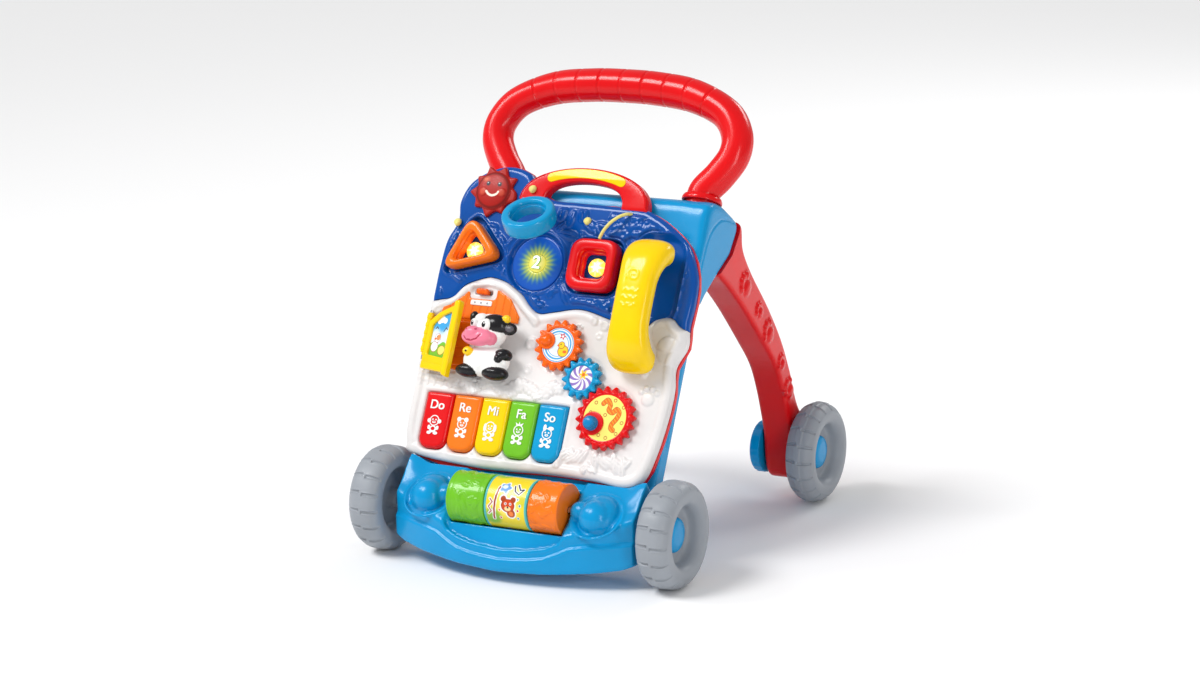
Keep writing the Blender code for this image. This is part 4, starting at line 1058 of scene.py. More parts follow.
def drawn(x, ground, *rows):
    """Colours of points: a ground, then layers in turn, each (distance, colour) or with a softness."""
    colours = np.ones((len(x), 3)) * ground
    for row in rows:
        colours = layer(colours, *row)
    return colours


def printed(name, edge, height, base, reach, step, drawing, body, matrix, stands_for=(), look=None):
    """A relief whose points carry the colours of a drawing."""
    mesh = relief(edge, height, base, reach, step)
    points = points_of(mesh)
    paint(mesh, drawing(points[:, 0], points[:, 1]))
    return place(name, mesh, look or PRINT, body, stands_for, matrix, SCULPTED)


def round_print(name, radius, top, base, step, drawing, body, matrix, dome=0.0, stands_for=(), look=None):
    """A round printed disc, slightly domed."""
    reach = (-radius - 1, -radius - 1, radius + 1, radius + 1)
    return printed(name, lambda x, v: np.hypot(x, v) - radius,
                   lambda x, v, d: top + dome * (1 - (x * x + v * v) / radius ** 2), base, reach, step,
                   drawing, body, matrix, stands_for, look)


def chick(x, v, at, size):
    """Layers of a plain round chick: body, head, wing, beak and eye."""
    def near(a, b, radius, squash=1.0):
        return spot(x, v, (at[0] + size * a, at[1] + size * b), size * radius, squash)
    return [(near(0, 0, 1.15), BARK), (near(0, 0, 1.0), GOLD), (near(-0.5, 1.1, 0.72), BARK),
            (near(-0.5, 1.1, 0.6), GOLD), (near(0.35, -0.1, 0.42, 0.7), FLAME),
            (near(-1.15, 1.0, 0.26, 0.7), FLAME), (near(-0.65, 1.25, 0.14), INK)]


# ---------------------------------------------------------------- keys
KEY_TAGS = (("red", RED), ("orange", AMBER), ("yellow", YELLOW), ("green", GREEN), ("blue", AQUA))
NOTES = ("Do", "Re", "Mi", "Fa", "So")
KEY_TOP_H = 3.5
KEY_CROWN, KEY_CROWN_HALF = 1.3, 15     # how far a key's top drops at a distance from its middle
NOTE_V, FIGURE_V = 160.5, 141
PRINT_THICK = 0.6


def words(text, size, at, bold=0.2):
    """Thin solid lettering, centred on a point of the panel plane; copies side by side make it bold."""
    curve = bpy.data.curves.new("words", 'FONT')
    curve.body = text
    curve.size = size
    curve.align_x, curve.align_y = 'CENTER', 'CENTER'
    curve.extrude = PRINT_THICK / 2
    mesh = settle(curve)
    copies = [moved(mesh.copy(), shift(at[0] + a * bold, at[1] + b * bold * 0.5, 0.02 * index))
              for index, (a, b) in enumerate(((-1, -1), (1, -1), (0, 0), (-1, 1), (1, 1)))]
    return gather(*copies)


def figure(kind, at):
    """A little white line drawing of a seated toy animal; kind sets its ears."""
    ears = ([oval((-6, 3.6), 2.2), oval((6, 3.6), 2.2)], [oval((-4.2, 8.4), 2.4), oval((4.2, 8.4), 2.4)],
            [oval((-5.8, 3), 1.7, 4.2), oval((5.8, 3), 1.7, 4.2)],
            [[(-3, 8.6), (-4.6, 12), (-1, 10), (0, 13), (1, 10), (4.6, 12), (3, 8.6)]],
            [oval((-3.4, 10), 1.8, 3.4), oval((3.6, 9.6), 3.2, 2.0)])[kind]
    loops = [[oval((0, 4), 5.7), oval((0, 4), 4.7)], [oval((-1.9, 5), 0.85)], [oval((1.9, 5), 0.85)],
             [oval((0, 2.3), 2.1, 1.2), oval((0, 2.5), 1.1, 0.5)],
             [oval((0, -5), 4.0, 3.6), oval((0, -4.6), 2.4, 2.0)], [oval((-3.8, -9), 2.5, 1.7)],
             [oval((3.8, -9), 2.5, 1.7)], [oval((-5, -3.4), 1.5, 2.3)], [oval((5, -3.4), 1.5, 2.3)]]
    plates = [slab([loop[0]] + [list(reversed(hole)) for hole in loop[1:]], -PRINT_THICK / 2, PRINT_THICK / 2)
              for loop in loops + [[ear] for ear in ears]]
    return [moved(plate, Matrix.Scale(0.95, 4), shift(at[0], at[1], 0)) for plate in plates]


def make_keys():
    """Crowned keys, each with its note and its animal."""
    for index, (tag, look) in enumerate(KEY_TAGS):
        middle = KEY_FIRST_X + index * KEY_PITCH

        def crown(x):
            return KEY_TOP_H - KEY_CROWN * ((x - middle) / KEY_CROWN_HALF) ** 2

        mesh = relief(lambda x, v: key_outline(x, v, middle),
                      lambda x, v, distance: crown(x) + 0.9 * round_edge(distance, 3.6), -5,
                      (middle - 16, KEY_FOOT - 1, middle + 16, KEY_TOP + 1), 0.65)
        place(f"key_cap_{tag}", mesh, look, f"{tag}_key", [f"key_{tag}"], PANEL, SCULPTED)
        marks = gather(words(NOTES[index], 12.6, (middle, NOTE_V)), *figure(index, (middle, FIGURE_V)))
        points = points_of(marks)
        points[:, 2] += crown(points[:, 0]) + 0.3
        set_points(marks, points)
        place(f"key_print_{tag}", marks, SNOWY, f"{tag}_key", (), PANEL)


# ---------------------------------------------------------------- gears
def gear_mesh(teeth, facing, shape, disc_radius, floor):
    """A gear with round-topped teeth round a sunken disc.

    shape(share, wave) gives the rim's height from the disc (0) to the tooth tip (1).
    """
    steps = teeth * 30
    angles = round_angles(steps)
    wave = np.cos(teeth * (angles - math.radians(facing)))
    tip = TOOTH_REACH * teeth - 0.45 + 2.1 * wave
    rows = [(0, 0.6), (tip - 1, 0.6), (tip, 1.6), (tip, 5.4)]
    for share in np.linspace(1, 0, 22):
        rows.append((disc_radius + 0.8 + (tip - disc_radius - 0.8) * share, shape(share, wave)))
    rows += [(disc_radius, shape(0, wave) - 0.3), (disc_radius - 0.5, floor), (0, floor)]
    points = np.stack([np.stack((r * np.cos(angles), r * np.sin(angles), 0 * tip + h), -1) for r, h in rows])
    return mesh_of(points.reshape(-1, 3), grid_faces(len(rows), steps, False, True))


def orange_rim(share, wave):
    """A level rim with pockets between its teeth."""
    shoulder = 1.6 * (1 - np.sqrt(max(1 - max((share - 0.82) / 0.18, 0) ** 2, 0)))
    pocket = 1.5 * (0.5 - 0.5 * wave) * ease(share, 0.35, 0.62)
    lip = 0.5 * hump(share - 0.06, 0.09)
    return 7.9 - shoulder - pocket + lip


def blue_rim(share, wave):
    shoulder = 2.0 * (1 - np.sqrt(max(1 - max((share - 0.6) / 0.4, 0) ** 2, 0)))
    pocket = 1.9 * (0.5 - 0.5 * wave) * ease(share, 0.25, 0.6)
    return 7.8 - shoulder - pocket + 0.5 * hump(share - 0.05, 0.12)


def red_rim(share, wave):
    """A rim of pointed facets."""
    facet = (1 - np.arccos(np.clip(wave, -1, 1)) / math.pi) * (1 - abs(2 * share - 1.1) / 1.1)
    return 6.2 + 2.6 * np.maximum(facet, 0) + 0.9 * hump(share - 0.05, 0.1) - 0.8 * (share > 0.95)


def orange_picture(x, v):
    reach = np.hypot(x, v)
    hoops = [(np.abs(reach - radius) - wide, DAYLIGHT)
             for radius, wide in ((16.2, 0.5), (13.6, 0.9), (11.2, 0.4))]
    return drawn(x, SNOW, *hoops, (spot(x, v, (1, 1), 8.6), CLOUD), *chick(x, v, (6.5, -5.5), 5.2),
                 (flower(x, v, (3.5, 9), 3.4, 5), CHERRY), (spot(x, v, (3.5, 9), 1.2), SNOW))


def blue_picture(x, v):
    around = np.arctan2(v, x) / (2 * math.pi) * 9 + np.hypot(x, v) * 0.09
    return drawn(x, SNOW, (np.abs((around % 1) - 0.5) * 3 - 0.72, VIOLET), (12.2 - np.hypot(x, v), CLOUD),
                 (flower(x, v, (2, 3.4), 5.0, 6), GOLD), (spot(x, v, (2, 3.4), 1.8), FLAME))


def red_picture(x, v):
    worm = smooth_line([(-4, 14), (0, 17.5), (3.5, 13), (3, 8), (7.5, 6), (11, 9.5), (14.5, 6), (12.5, 0),
                        (9, -5), (8.5, -9), (11, -11)], 5)
    body = distance_to_line(worm, x, v)
    dots = [(np.abs(spot(x, v, dot, 1.5)) - 0.35, BARK)
            for dot in ((-12, 14), (-16, 4), (8, 18), (18, 12), (19, -3), (-3, -17), (5, -19), (15, -14),
                        (0, 3))]
    return drawn(x, BUTTER, (22.8 - np.hypot(x, v), FLAME), (body - 2.6, BARK),
                 (body - 2.0, colour_of(248, 166, 44)),
                 (np.maximum(body - 2.0, 1.2 - np.abs((x + v) % 4.2 - 2.1) * 2), FLAME), *dots)


GEAR_LOOKS = (("orange", 331.5, orange_rim, 18, ORANGE, orange_picture),
              ("blue", 313 + 180 / 13, blue_rim, 13, AQUA, blue_picture),
              ("red", 133, red_rim, 23.5, RED, red_picture))
KNOB_PADS = {"orange": ((-12.6, 3.4), 8.6, 8.6), "red": ((-11.5, -6.5), 11.5, 8.4)}
GEAR_FLOOR = 6.4


def make_gears():
    """The three gears with their pictures, and the red gear's crank knob."""
    for tag, facing, rim, disc, look, drawing in GEAR_LOOKS:
        x, v, teeth = GEARS[tag]
        seat = PANEL @ shift(x, v, 0)
        mesh = gear_mesh(teeth, facing, rim, disc, GEAR_FLOOR)
        if tag in KNOB_PADS:
            (a, b), reach, top = KNOB_PADS[tag]
            pad = lathe(fillet([(0, top), (reach, top), (reach, 6), (0, 6)], 0.9, closed=False), 64, False)
            mesh = gather(mesh, moved(pad, shift(a, b, 0)))
        if tag == "orange":
            mesh = gather(mesh, egg((a, b, 8.4), (6.2, 6.2, 5)))
        place(f"{tag}_gear_wheel", mesh, look, f"{tag}_gear", [f"gear_{tag}"], seat, CRISP)
        round_print(f"{tag}_gear_picture", disc - 0.9, GEAR_FLOOR + 0.25, 6.0, 0.4, drawing, f"{tag}_gear",
                    seat)
    steps = 180
    rows = [(0, 8.2, 0), (7.2, 8.2, 0), (7.2, 9.6, 0.8), (7.0, 13.2, 1.0), (6.2, 15.4, 0.9), (4.6, 16.5, 0.3),
            (2.4, 17.0, 0), (0, 17.1, 0)]
    points = []
    for radius, height, groove in rows:
        for angle in round_angles(steps):
            reach = max(radius - groove * 0.5 * (1 + math.cos(18 * angle)), 0)
            points.append((reach * math.cos(angle), reach * math.sin(angle), height))
    place("crank_cap", mesh_of(points, grid_faces(len(rows), steps, False, True)), TEALISH, "red_gear",
          ["crank_knob"], PANEL @ shift(63, 159, 0), SCULPTED)


# ---------------------------------------------------------------- lamps, rings
def star_burst(x, v, rays, inner, outer):
    """Distance from a star with soft rays."""
    around = np.arctan2(v, x)
    return np.hypot(x, v) - inner - (outer - inner) * (0.5 + 0.5 * np.cos(rays * around)) ** 3


def warm_glow(x, v):
    return drawn(x, colour_of(250, 190, 70), (star_burst(x, v, 8, 5, 9), colour_of(255, 226, 130), 1.2),
                 (star_burst(x, v, 6, 2.6, 5.5), colour_of(255, 250, 226), 1.0))


def cool_glow(x, v):
    return drawn(x, colour_of(216, 208, 90), (np.hypot(x, v) - 5, colour_of(240, 232, 150), 4))


def well_glow(x, v):
    """The round well's lens: light that fades outwards to blue in fine rays."""
    reach = np.hypot(x, v) - 1.4 * np.cos(23 * np.arctan2(v, x))
    return drawn(x, colour_of(14, 74, 160), (reach - 17.5, colour_of(74, 130, 110), 5),
                 (reach - 14, colour_of(160, 172, 76), 4.5), (reach - 9.5, colour_of(222, 214, 96), 4))


def make_lamps():
    """Light buttons in the wells, and the round well's lens and digit."""
    for tag, at, radius, drawing, look in (("round", CIRCLE_WELL, 9, cool_glow, SOFT_LAMP),
                                           ("square", SQUARE_WELL, 9, warm_glow, LAMP),
                                           ("triangle", TRIANGLE_WELL, 8.8, warm_glow, LAMP)):
        round_print(f"lamp_{tag}", radius, -2.6, -7.3, 0.4, drawing, f"{tag}_light",
                    PANEL @ shift(*at, 0), 1.6, [f"light_button_{tag}"], look)
    printed("well_lens", lambda x, v: np.maximum(np.hypot(x, v) - 27.5, 9.3 - np.hypot(x, v)),
            lambda x, v, d: -3.0 + 0.4 * round_edge(d, 1.5), -5.4, (-29, -29, 29, 29), 0.6, well_glow,
            "panel", PANEL @ shift(*CIRCLE_WELL, 0), (), SOFT_LAMP)
    for name, look, bold, height in (("lamp_digit", BRIGHT, 0.4, -0.5),
                                     ("lamp_digit_edge", GREEN, 1.0, -0.8)):
        digit = words("2", 18, CIRCLE_WELL, bold)
        place(name, moved(digit, shift(0, 0, height)), look, "round_light", (), PANEL)


def ring_loft(outer, inner, low, high, power=0.6, around=26):
    """A puffy closed ring between two outlines with matching points."""
    outer, inner = (np.array([tuple(p)[:2] for p in line], float) for line in (outer, inner))
    angles = round_angles(around)
    c, s = np.cos(angles), np.sin(angles)
    share = (0.5 - 0.5 * np.sign(c) * np.abs(c) ** power)[None, :, None]
    height = (low + high) / 2 + (high - low) / 2 * np.sign(s) * np.abs(s) ** power
    flat = outer[:, None, :] * (1 - share) + inner[:, None, :] * share
    points = np.concatenate((flat, np.repeat(height[None, :, None], len(outer), 0)), -1)
    return mesh_of(points.reshape(-1, 3), grid_faces(len(outer), around, True, True))


def make_rings():
    """The square and triangular rings lie in their wells; the round one leans above its own."""
    square = fillet([(-26, -26), (26, -26), (26, 26), (-26, 26)], 15, 10)
    three = fillet(triangle(), 17, 12)
    for tag, outline, at, look, hole in (("square", square, SQUARE_WELL, RED, 0.56),
                                         ("triangle", three, TRIANGLE_WELL, AMBER, 0.6)):
        mesh = gather(ring_loft(outline, scaled(outline, hole), -5, 12),
                      ring_loft(scaled(outline, hole + 0.1), scaled(outline, hole - 0.08), -5, 5, 0.5))
        place(f"{tag}_ring_puffy", mesh, look, f"{tag}_ring", [f"ring_{tag}"], PANEL @ shift(*at, 0),
              SCULPTED)
    circle = oval((0, 0), 27, count=96)
    mesh = gather(ring_loft(circle, scaled(circle, 17.5 / 27), -8.5, 8.5, 0.55),
                  ring_loft(scaled(circle, 19 / 27), scaled(circle, 16.4 / 27), -7.5, 2.5, 0.5))
    place("round_ring_puffy", mesh, AQUA, "round_ring", ["ring_round"],
          PANEL @ shift(-37, 350, 31) @ turn(-39, 'X'), SCULPTED)


# ---------------------------------------------------------------- phone, carry handle, sun
PHONE_X = 96
ARCH_FOOT_V = 372


def make_phone():
    """The handset: rounded sections along an arched line, with a raised doodle on its back."""
    arch = [(224, 4), (224, 14), (231, 25), (247, 33), (270, 35), (298, 34.5), (316, 30), (327, 20), (329, 6)]
    line, travel = even_line(smooth_line(arch, 10), 0.9)
    whole = travel[-1]
    normal = normals_of(line)
    from_end = np.minimum(travel, whole - travel)
    cap = np.sqrt(np.clip(1 - (1 - np.clip(from_end / 10, 0, 1)) ** 2, 0, 1))
    bell = ease(from_end, 52, 14)
    half_width = (19 + 4 * bell) * (0.2 + 0.8 * cap)
    half_thick = (11 + 2.6 * bell) * (0.2 + 0.8 * cap)
    count = 132
    angles = round_angles(count)
    c, s = np.cos(angles), np.sin(angles)
    sideways = half_width[:, None] * (np.sign(c) * np.abs(c) ** 0.72)[None, :]
    outwards = half_thick[:, None] * (np.sign(s) * np.abs(s) ** 0.78)[None, :]
    along_line = np.repeat((travel - whole / 2)[:, None], count, 1)
    doodles = [[(1.1 * r * math.cos(r * 1.5), 22 + 1.1 * r * math.sin(r * 1.5))
                for r in np.linspace(0.8, 6.5, 26)]]
    for row in range(3):
        doodles.append([(x, 8 - 7 * row + 1.6 * math.sin(x * 0.9 + row)) for x in np.linspace(-8, 8, 18)])
    nearest = np.min([distance_to_line(doodle, sideways, along_line) for doodle in doodles], axis=0)
    thick = outwards + 0.55 * hump(nearest, 0.75) * (s[None, :] > 0)
    points = np.stack((PHONE_X + sideways, line[:, :1] + normal[:, :1] * thick,
                       line[:, 1:] + normal[:, 1:] * thick), -1)
    faces = grid_faces(len(line), count, False, True).tolist()
    faces += [list(range(count)), list(range((len(line) - 1) * count, len(line) * count))]
    place("phone_body", mesh_of(points.reshape(-1, 3), faces, 0), YELLOW, "phone", ["phone_handset"],
          PANEL, SCULPTED)


def arch_line(reach, rise, power, start=0, end=180, count=46):
    """Points of a full-bellied arch that stands on the panel's top."""
    return [(reach * math.cos(a), ARCH_FOOT_V + rise * abs(math.sin(a)) ** power)
            for a in np.radians(np.linspace(start, end, count))]


def ribbon(line, half):
    """Outline of a band along a line, with round ends."""
    middle, _ = even_line(line, 2)
    normal = normals_of(middle)
    left, right = middle + half * normal, middle - half * normal
    caps = []
    for centre, start in ((middle[-1], normal[-1]), (middle[0], -normal[0])):
        angle = math.degrees(math.atan2(start[1], start[0]))
        caps.append(arc(centre, half, angle, angle - 180, 10)[1:-1])
    return [*map(tuple, left), *caps[0], *map(tuple, right[::-1]), *caps[1]]


def make_carry_handle():
    """The arch on the panel's top, with a plain label and a bead on each shoulder."""
    outline = arch_line(72, 41, 0.8) + list(reversed(arch_line(43, 26, 0.6)))
    on_panel("carry_arch", slab([outline], -13.4, 0.2, edge=3.4, steps=5), RED, ["carry_handle"], ROUNDED)
    label = ribbon(arch_line(60.5, 34.4, 0.74, 50, 130), 4.6)
    on_panel("carry_label", slab([label], -0.6, 0.9, edge=0.5, steps=2), YELLOW)
    for side in (-1, 1):
        line = [(side * x, v, 0.1) for x, v in arch_line(70.2, 39.4, 0.8, 4, 48)]
        on_panel(f"carry_bead_{side + 2}", settle(bead("bead", line, 0.5, 3)), RED)


def make_sun():
    """A smiling sun behind a tinted lens."""
    flames = [(0, 25), (17, 20.5), (33, 27), (50, 21), (72, 26.5), (92, 21), (112, 27), (128, 21),
              (147, 25.5), (166, 20.5), (184, 27), (203, 21.5), (222, 25), (240, 20.5), (262, 27),
              (284, 21), (303, 26), (322, 20.5), (341, 26.5)]
    points = [(r * math.cos(math.radians(a)), r * math.sin(math.radians(a))) for a, r in flames]
    outline = smooth_line(points, 4, closed=True)
    cheeks, blush = ((-10, -2), (11, -2)), colour_of(200, 74, 54)

    def height(x, v, distance):
        dome = 3.6 + 4.0 * np.sqrt(np.clip(1 - (np.hypot(x, v) / 19.5) ** 2, 0, 1))
        return dome + sum(puff(x, v, at, 4.8, 1.0) for at in cheeks) + 0.9 * round_edge(distance, 2.6)

    def drawing(x, v):
        smile = distance_to_line(arc((1, 2.5), 8, 212, 328, 20), x, v)
        # The lighter oval at the face's upper left is a painted highlight, where light falls on the dome.
        rows = [(np.abs(np.hypot(x, v) - 17.5) - 1.2, colour_of(120, 16, 12), 1.2),
                (spot(x, v, (-9, 11), 3, 0.7), colour_of(214, 104, 70), 3)]
        rows += [(spot(x, v, at, 3.4), blush, 1.6) for at in cheeks]
        rows.append((smile - 1.1, colour_of(250, 238, 222)))
        # Each eye is a dark disc with a painted glint: a small white highlight towards its upper left.
        for eye_x in (-5.4, 7.4):
            rows += [(spot(x, v, (eye_x, 6.4), 2.3), INK), (spot(x, v, (eye_x - 0.5, 7.2), 0.6), SNOW)]
        return drawn(x, colour_of(170, 22, 14), *rows)

    printed("sun_face", lambda x, v: distance_to(outline, x, v), height, 0.3, (-29, -29, 29, 29), 0.45,
            drawing, "panel", PANEL @ shift(*SUN_AT, 0), ["sun_lens"], LENS)


# ---------------------------------------------------------------- barn, door, switch, cow
BARN_BACK = -0.9


def make_barn():
    """The boarded gable and the wall behind the door."""
    gable = [(-130, 250), (-43, 250), (-43, 257), (-56, 274), (-70, 281), (-102, 281), (-108, 273),
             (-130, 259)]
    doorway = [(-128, 202), (-92, 196), (-92, 251), (-128, 251)]

    def gable_edge(x, v):
        return np.maximum(distance_to(gable, x, v), -box_distance(x, v, SWITCH_AT, 15.2, 7.2, 4))

    def gable_height(x, v, distance):
        boards = np.abs((x + 87) % 8.5 - 4.25)
        return 2.4 - 0.7 * hump(boards - 4.25, 0.5) + 0.5 * round_edge(distance, 1.2)

    def wall_height(x, v, distance):
        return 1.0 + 0.5 * round_edge(distance, 1.2) - 0.6 * hump((v % 9) - 4.5, 0.5)

    on_panel("barn_boards", relief(gable_edge, gable_height, BARN_BACK, (-134, 247, -40, 285), 0.5),
             AMBER, ["barn_front"], SCULPTED)
    on_panel("barn_wall", relief(lambda x, v: distance_to(doorway, x, v), wall_height, BARN_BACK,
                                 (-130, 192, -90, 253), 0.5), AMBER, (), SCULPTED)


def make_switch():
    """The power switch's slider, and its label with three dots."""
    label = fillet([(-99, 264.2), (-75, 264.2), (-75, 269.4), (-99, 269.4)], 1.6)
    on_panel("switch_label", slab([label], 1.6, 3.2, edge=0.4), SNOWY)
    marks = [slab([oval((x, 266.8), 0.9)], 3.1, 3.45) for x in (-94, -87, -80)]
    on_panel("switch_marks", gather(*marks), GREY)
    outline = fillet([(-93.5, 275), (-80.5, 275), (-80.5, 281), (-93.5, 281)], 2.4)
    knob = slab([outline], 2.2, 6.6, edge=1.6, steps=4)
    ribs = [moved(cylinder(0.55, -2.2, 2.2, 16), turn(90, 'X'), shift(x, 278, 6.5)) for x in (-89, -87, -85)]
    stem = slab([[(-91, 275.9), (-83, 275.9), (-83, 280.1), (-91, 280.1)]], -4.8, 3)
    place("switch_slider", gather(knob, stem, *ribs), ORANGE, "switch", ["power_switch"], PANEL)


def door_picture(x, v):
    """Sky and grass with clouds, a duck, a hay bale and two birds."""
    rows = [(v - 4 + 2 * np.sin(x * 0.35), CLOUD, 4), (v + 9 + 1.5 * np.sin(x * 0.4), LEAF)]
    rows += [(spot(x, v, at, radius), SNOW)
             for at, radius in (((16, 14), 3.2), ((20, 15.5), 3.6), ((24.5, 14), 2.8))]
    for at, radius, squash, tone in (((15, -12), 5.6, 1.0, SNOW), ((18, -3.5), 4.8, 1.0, SNOW),
                                     ((26.5, -16), 5.4, 0.9, BUTTER)):
        rows += [(spot(x, v, at, radius, squash), BARK), (spot(x, v, at, radius - 0.55, squash), tone)]
    rows += [(spot(x, v, (19, -3), 3), colour_of(232, 150, 90)),
             (spot(x, v, (14.6, -4.2), 1.7, 0.7), FLAME), (spot(x, v, (17, -1.8), 0.6), INK)]
    rows += [(distance_to_line(bird, x, v) - 0.5, INK)
             for bird in ([(25, 3), (28, 7), (30, 5)], [(12, 6), (14, 8), (16, 6)])]
    return drawn(x, DAYLIGHT, *rows)


def make_door():
    """The picture door, open at rest: rim, end bar, foot, window and barrel."""
    seat = PANEL @ shift(-139, 229, 5) @ turn(-20, 'Y')
    outline = fillet([(2.4, -34.5), (37, -39), (44, -43.5), (44, 34), (38, 34), (36.4, 29.5), (16, 22.5),
                      (2.4, 13)], 1.6)
    window = fillet([(8.5, -20.5), (34.4, -24.5), (34.4, 23), (19, 18.5), (8.5, 10)], 2.2)
    bar = fillet([(36.6, -41), (44.4, -43.6), (44.4, 34.4), (36.6, 34.4)], 2.4)
    foot = fillet([(3, -34.5), (42, -39.6), (42, -32.5), (3, -26.6)], 2)
    barrel = moved(cylinder(3.2, -22, 18), turn(90, 'X'))
    ribs = [moved(cylinder(3.7, v - 1.7, v + 1.7, 40), turn(90, 'X')) for v in (-18, -10, -2, 6, 14)]
    body = gather(slab([outline, list(reversed(window))], -3, 3, edge=1.1, steps=3),
                  slab([bar], -3, 4.4, edge=2, steps=4), slab([foot], -3, 4, edge=1.6, steps=4),
                  slab([window], -2.6, -0.4, grow=1.2), barrel, box((0, -21, -2.2), (4, 11, 2.2)), *ribs)
    place("door_frame", body, YELLOW, "door", ["barn_door"], seat, CRISP)
    printed("door_scene", lambda x, v: distance_to(window, x, v) - 0.6, lambda x, v, d: 0.2 + 0 * x, -0.6,
            (6, -27, 38, 26), 0.4, door_picture, "door", seat)


COW_PARTS = [
    ((-62.5, 208, 11.6), (25.5, 16.5, 11.5), "white"), ((-43.5, 214.5, 14), (9.2, 6.4, 8), "black"),
    ((-46, 210, 17), (4.6, 5.2, 6.4), "black"),
    ((-79.5, 196.5, 12), (14.6, 7, 9.4), "black"), ((-49.5, 196, 13), (14.6, 7.2, 9.6), "black"),
    ((-64.5, 203, 15), (7, 7.5, 8), "white"), ((-65, 236, 15), (20.5, 18, 12), "white"),
    ((-57.5, 242.5, 17), (15, 11.5, 11), "black"), ((-70, 228, 25.5), (17.5, 9.2, 7.5), "pink"),
    ((-74.5, 231.5, 28), (9, 6.4, 6.8), "pink"), ((-57, 228.5, 22), (7, 7, 6), "pink"),
    ((-84, 249.5, 15), (4.4, 6, 4), "black"), ((-41, 240.5, 17), (8, 6.4, 4.6), "black"),
    ((-39.5, 240, 20.4), (4.6, 3.2, 2), "grey"), ((-45, 249.5, 20), (4.6, 4, 3.8), "yellow"),
    ((-72, 247, 19), (7.5, 6, 8), "white"), ((-80, 214, 21), (5.8, 4.6, 3.4), "yellow"),
]
COW_SHARP = 70
COW_COLOURS = {"white": SNOW, "black": colour_of(26, 25, 28), "pink": colour_of(240, 130, 156),
               "grey": colour_of(96, 92, 98), "yellow": GOLD}


def face_pair(name, look, *eggs):
    """A matching pair of small eggs on the cow's face."""
    on_panel(name, gather(*[egg(at, radii) for at, radii in eggs]), look, (), COW_SHARP)


def make_cow():
    """The seated cow, one moulding, coloured part by part."""
    mesh = mould(gather(*[egg(at, radii) for at, radii, _ in COW_PARTS]), 0.7, 3)
    points = points_of(mesh)
    depth = np.stack([(np.linalg.norm((points - np.array(at)) / np.array(radii), axis=1) - 1) * min(radii)
                      for at, radii, _ in COW_PARTS])
    nearest = depth.argmin(0)
    colours = np.array([COW_COLOURS[tone] for _, _, tone in COW_PARTS])[nearest]
    mouth = distance_to_line([(-82.5, 226.5), (-79, 223.6), (-73, 222.8), (-67, 225), (-63.5, 229.2)],
                             points[:, 0], points[:, 1])
    front = points[:, 2] > 23
    drawn_on = [(mouth < 0.7, colour_of(176, 44, 70))]
    for at in ((-79.5, 233.5), (-69.5, 234)):
        drawn_on.append((spot(points[:, 0], points[:, 1], at, 1.1) < 0, colour_of(196, 70, 100)))
    for area, colour in drawn_on:
        colours = np.where((area & front)[:, None], np.array(colour), colours)
    points[:, 2] -= 0.5 * hump(mouth, 0.8) * front
    set_points(mesh, points)
    paint(mesh, colours)
    on_panel("cow_toy", mesh, COW_SKIN, ["cow"], COW_SHARP)
    face_pair("cow_eye_whites", SNOWY, ((-76.6, 241.2, 25.6), (3.6, 5.0, 3.2)),
              ((-62.6, 240.6, 26.6), (5.6, 6.2, 3.4)))
    face_pair("cow_pupils", BLACK, ((-77.2, 241, 28.2), (1.5, 2.5, 1.2)),
              ((-63.6, 240.2, 29.4), (2.3, 3.0, 1.2)))
    face_pair("cow_eye_glints", SNOWY, ((-76.8, 242, 29.2), (0.6, 0.7, 0.4)),
              ((-62.9, 241.3, 30.4), (0.8, 0.9, 0.5)))
    slot = moved(cylinder(1.0, -0.4, 0.6, 24), shift(-80.4, 213.4, 24.2))
    on_panel("cow_bell_hole", slot, BLACK)


# ---------------------------------------------------------------- rollers
def drum_drawing(a, s):
    """The middle roller's print: a along its length, s round it from the front."""
    bear = np.minimum(np.minimum(spot(a, s, (3, -1), 7.4, 0.9), spot(a, s, (-2.6, 5.4), 3.0)),
                      np.minimum(spot(a, s, (8.2, 5), 3.0), spot(a, s, (6.6, -8.4), 4.4)))
    rows = [(spot(a, s, (4, 4), 12, 1.3), colour_of(250, 232, 130), 5),
            (spot(a, s, (-14, -14), 9), colour_of(140, 190, 60), 3),
            (spot(a, s, (17, 6), 7), colour_of(214, 206, 60), 3)]
    for line, colour, wide in (([(-9.5, 17), (-11, 6), (-12.5, -16)], BARK, 1.0),
                               ([(9, 22), (13, 16), (17, 17), (13, 11), (8, 14), (6, 20)], INK, 0.7),
                               ([(-17, 4), (-14, 1), (-18, -4), (-15, -8), (-18, -11)], BARK, 0.6),
                               ([(6, 8), (9, 4), (13, 6)], TEAL, 0.8)):
        stroke = distance_to_line(line, a, s) - wide
        rows += [(stroke - 0.8, SNOW), (stroke, colour)]
    rows += [(flower(a, s, (-3, 17), 7.6, 5, 0.16), SNOW),
             (flower(a, s, (-3, 17), 6.2, 5, 0.16), colour_of(112, 160, 220)),
             (spot(a, s, (-4, 18), 2.8, 0.8), CLOUD), (bear - 1.2, SNOW), (bear, BARK),
             (spot(a, s, (3, -1), 6.2, 0.9), colour_of(206, 70, 26)),
             (spot(a, s, (3, -4), 3.4, 0.7), colour_of(248, 210, 150)),
             (spot(a, s, (3, -2.8), 1.1, 0.8), INK)]
    for at in ((0.4, 0.8), (5.6, 0.8)):
        rows += [(spot(a, s, at, 1.3), SNOW), (spot(a, s, at, 0.7), INK)]
    rows.append((spot(a, s, (6.6, -9), 2.6), colour_of(240, 130, 60)))
    for at, tone in (((-5, -14), CHERRY), ((14, -5), CHERRY), ((16, 0), TEAL), ((-6, -6), FLAME),
                     ((14, -13), TEAL)):
        rows += [(spot(a, s, at, 1.6), SNOW), (spot(a, s, at, 1.1), tone)]
    return drawn(a, colour_of(240, 214, 44), *rows, (20.8 - np.abs(a), colour_of(80, 186, 186)))


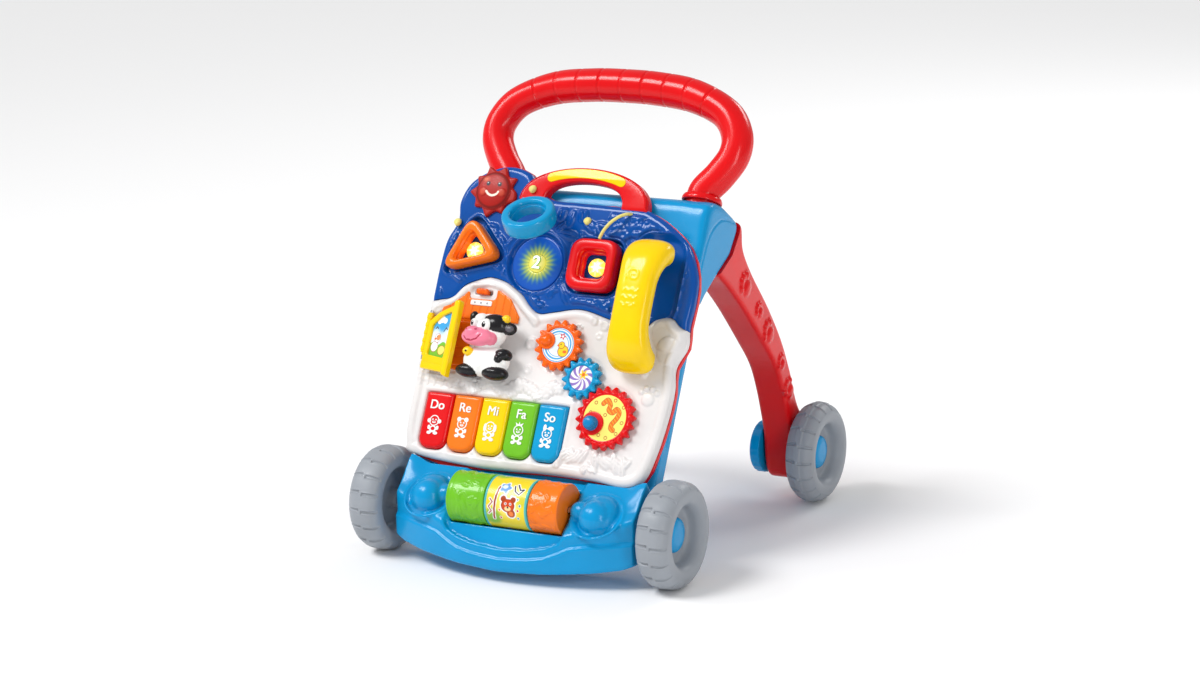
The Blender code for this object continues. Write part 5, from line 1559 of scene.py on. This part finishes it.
def roller_mesh(span, pattern):
    """A drum along x with rolled rims; pattern(a, s) is its surface relief.

    Returns the mesh and, for each point, a and s: its place along the drum and round it.
    """
    half = span / 2
    ends = [(3.4, -half), (22, -half), (24.4, -half), (25.3, 0.7 - half), (25.4, 1.8 - half),
            (24.9, 2.4 - half)]
    middle = [(24.9, a) for a in np.linspace(2.9 - half, half - 2.9, int(span * 1.8))]
    profile = np.array(ends + middle + [(r, -a) for r, a in reversed(ends)])
    steps = 264
    angles = round_angles(steps)
    around = ((77 - np.degrees(angles)) % 120 + 60) % 120 - 60
    s = np.repeat((np.radians(around) * ROLLER_RADIUS)[None, :], len(profile), 0)
    a = np.repeat(profile[:, 1:], steps, 1)
    radius = np.repeat(profile[:, :1], steps, 1)
    radius = radius + np.where(radius > 24.8, pattern(a, s), 0)
    points = np.stack((a, -radius * np.sin(angles), radius * np.cos(angles)), -1).reshape(-1, 3)
    mesh = mesh_of(points, grid_faces(len(profile), steps, True, True), None)
    mesh.flip_normals()
    return mesh, a.ravel(), s.ravel()


def carved(seed):
    """A scatter of leaves, puffs and ridges for a roller."""
    shaped = random.Random(seed)
    marks = [(shaped.uniform(-14, 14), shaped.uniform(-25, 25), shaped.uniform(4, 8), shaped.uniform(0, 3.1))
             for _ in range(14)]

    def pattern(a, s):
        height = np.zeros_like(a)
        for x, v, size, heading in marks:
            height = np.maximum(height, leaf(a, s, (x, v), size, heading, 0.9))
        ridge = distance_to_line([(-13, 8), (-7, 3), (-2, 6), (4, 1), (9, 3), (13, -3)], a, s)
        height = np.maximum(height, 0.9 * hump(ridge, 0.9))
        return (height - 0.35 * hump(np.abs(a) - 15, 0.7)) * ease(26 - np.abs(s), 0, 2)
    return pattern


def make_rollers():
    """Two carved rollers and the printed one between them."""
    for tag, low, high, look, pattern in (("green", -61, -19.5, GREEN, carved(3)),
                                          ("picture", -18.7, 28.3, PRINT, lambda a, s: 0 * a),
                                          ("orange", 29.1, 60.6, AMBER, carved(9))):
        mesh, a, s = roller_mesh(high - low, pattern)
        if look is PRINT:
            paint(mesh, drum_drawing(a, s))
        place(f"drum_{tag}", moved(mesh, shift((low + high) / 2, ROLLER_Y, ROLLER_Z)), look,
              f"{tag}_roller", [f"roller_{tag}"], FLOOR, ROUNDED)


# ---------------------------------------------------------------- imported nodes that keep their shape
def dress_nodes():
    """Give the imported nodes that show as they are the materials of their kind."""
    looks = {"panel_back_shell": RED, "battery_door": SKY, "circuit_board": BOARD, "speaker": BLACK,
             "battery_1": BATTERY, "battery_2": BATTERY, "key_membrane": RUBBER, "door_pin": STEEL,
             "front_axle": STEEL, "rear_axle_left": STEEL, "rear_axle_right": STEEL, "roller_axle": STEEL}
    for node, look in looks.items():
        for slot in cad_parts[node].material_slots:
            slot.material = look


make_stage()
make_camera()
make_cord()
make_shell()
make_handle()
make_legs()
make_wheels()
make_rollers()
make_faces()
make_keys()
make_gears()
make_lamps()
make_rings()
make_phone()
make_carry_handle()
make_sun()
make_barn()
make_switch()
make_door()
make_cow()
dress_nodes()
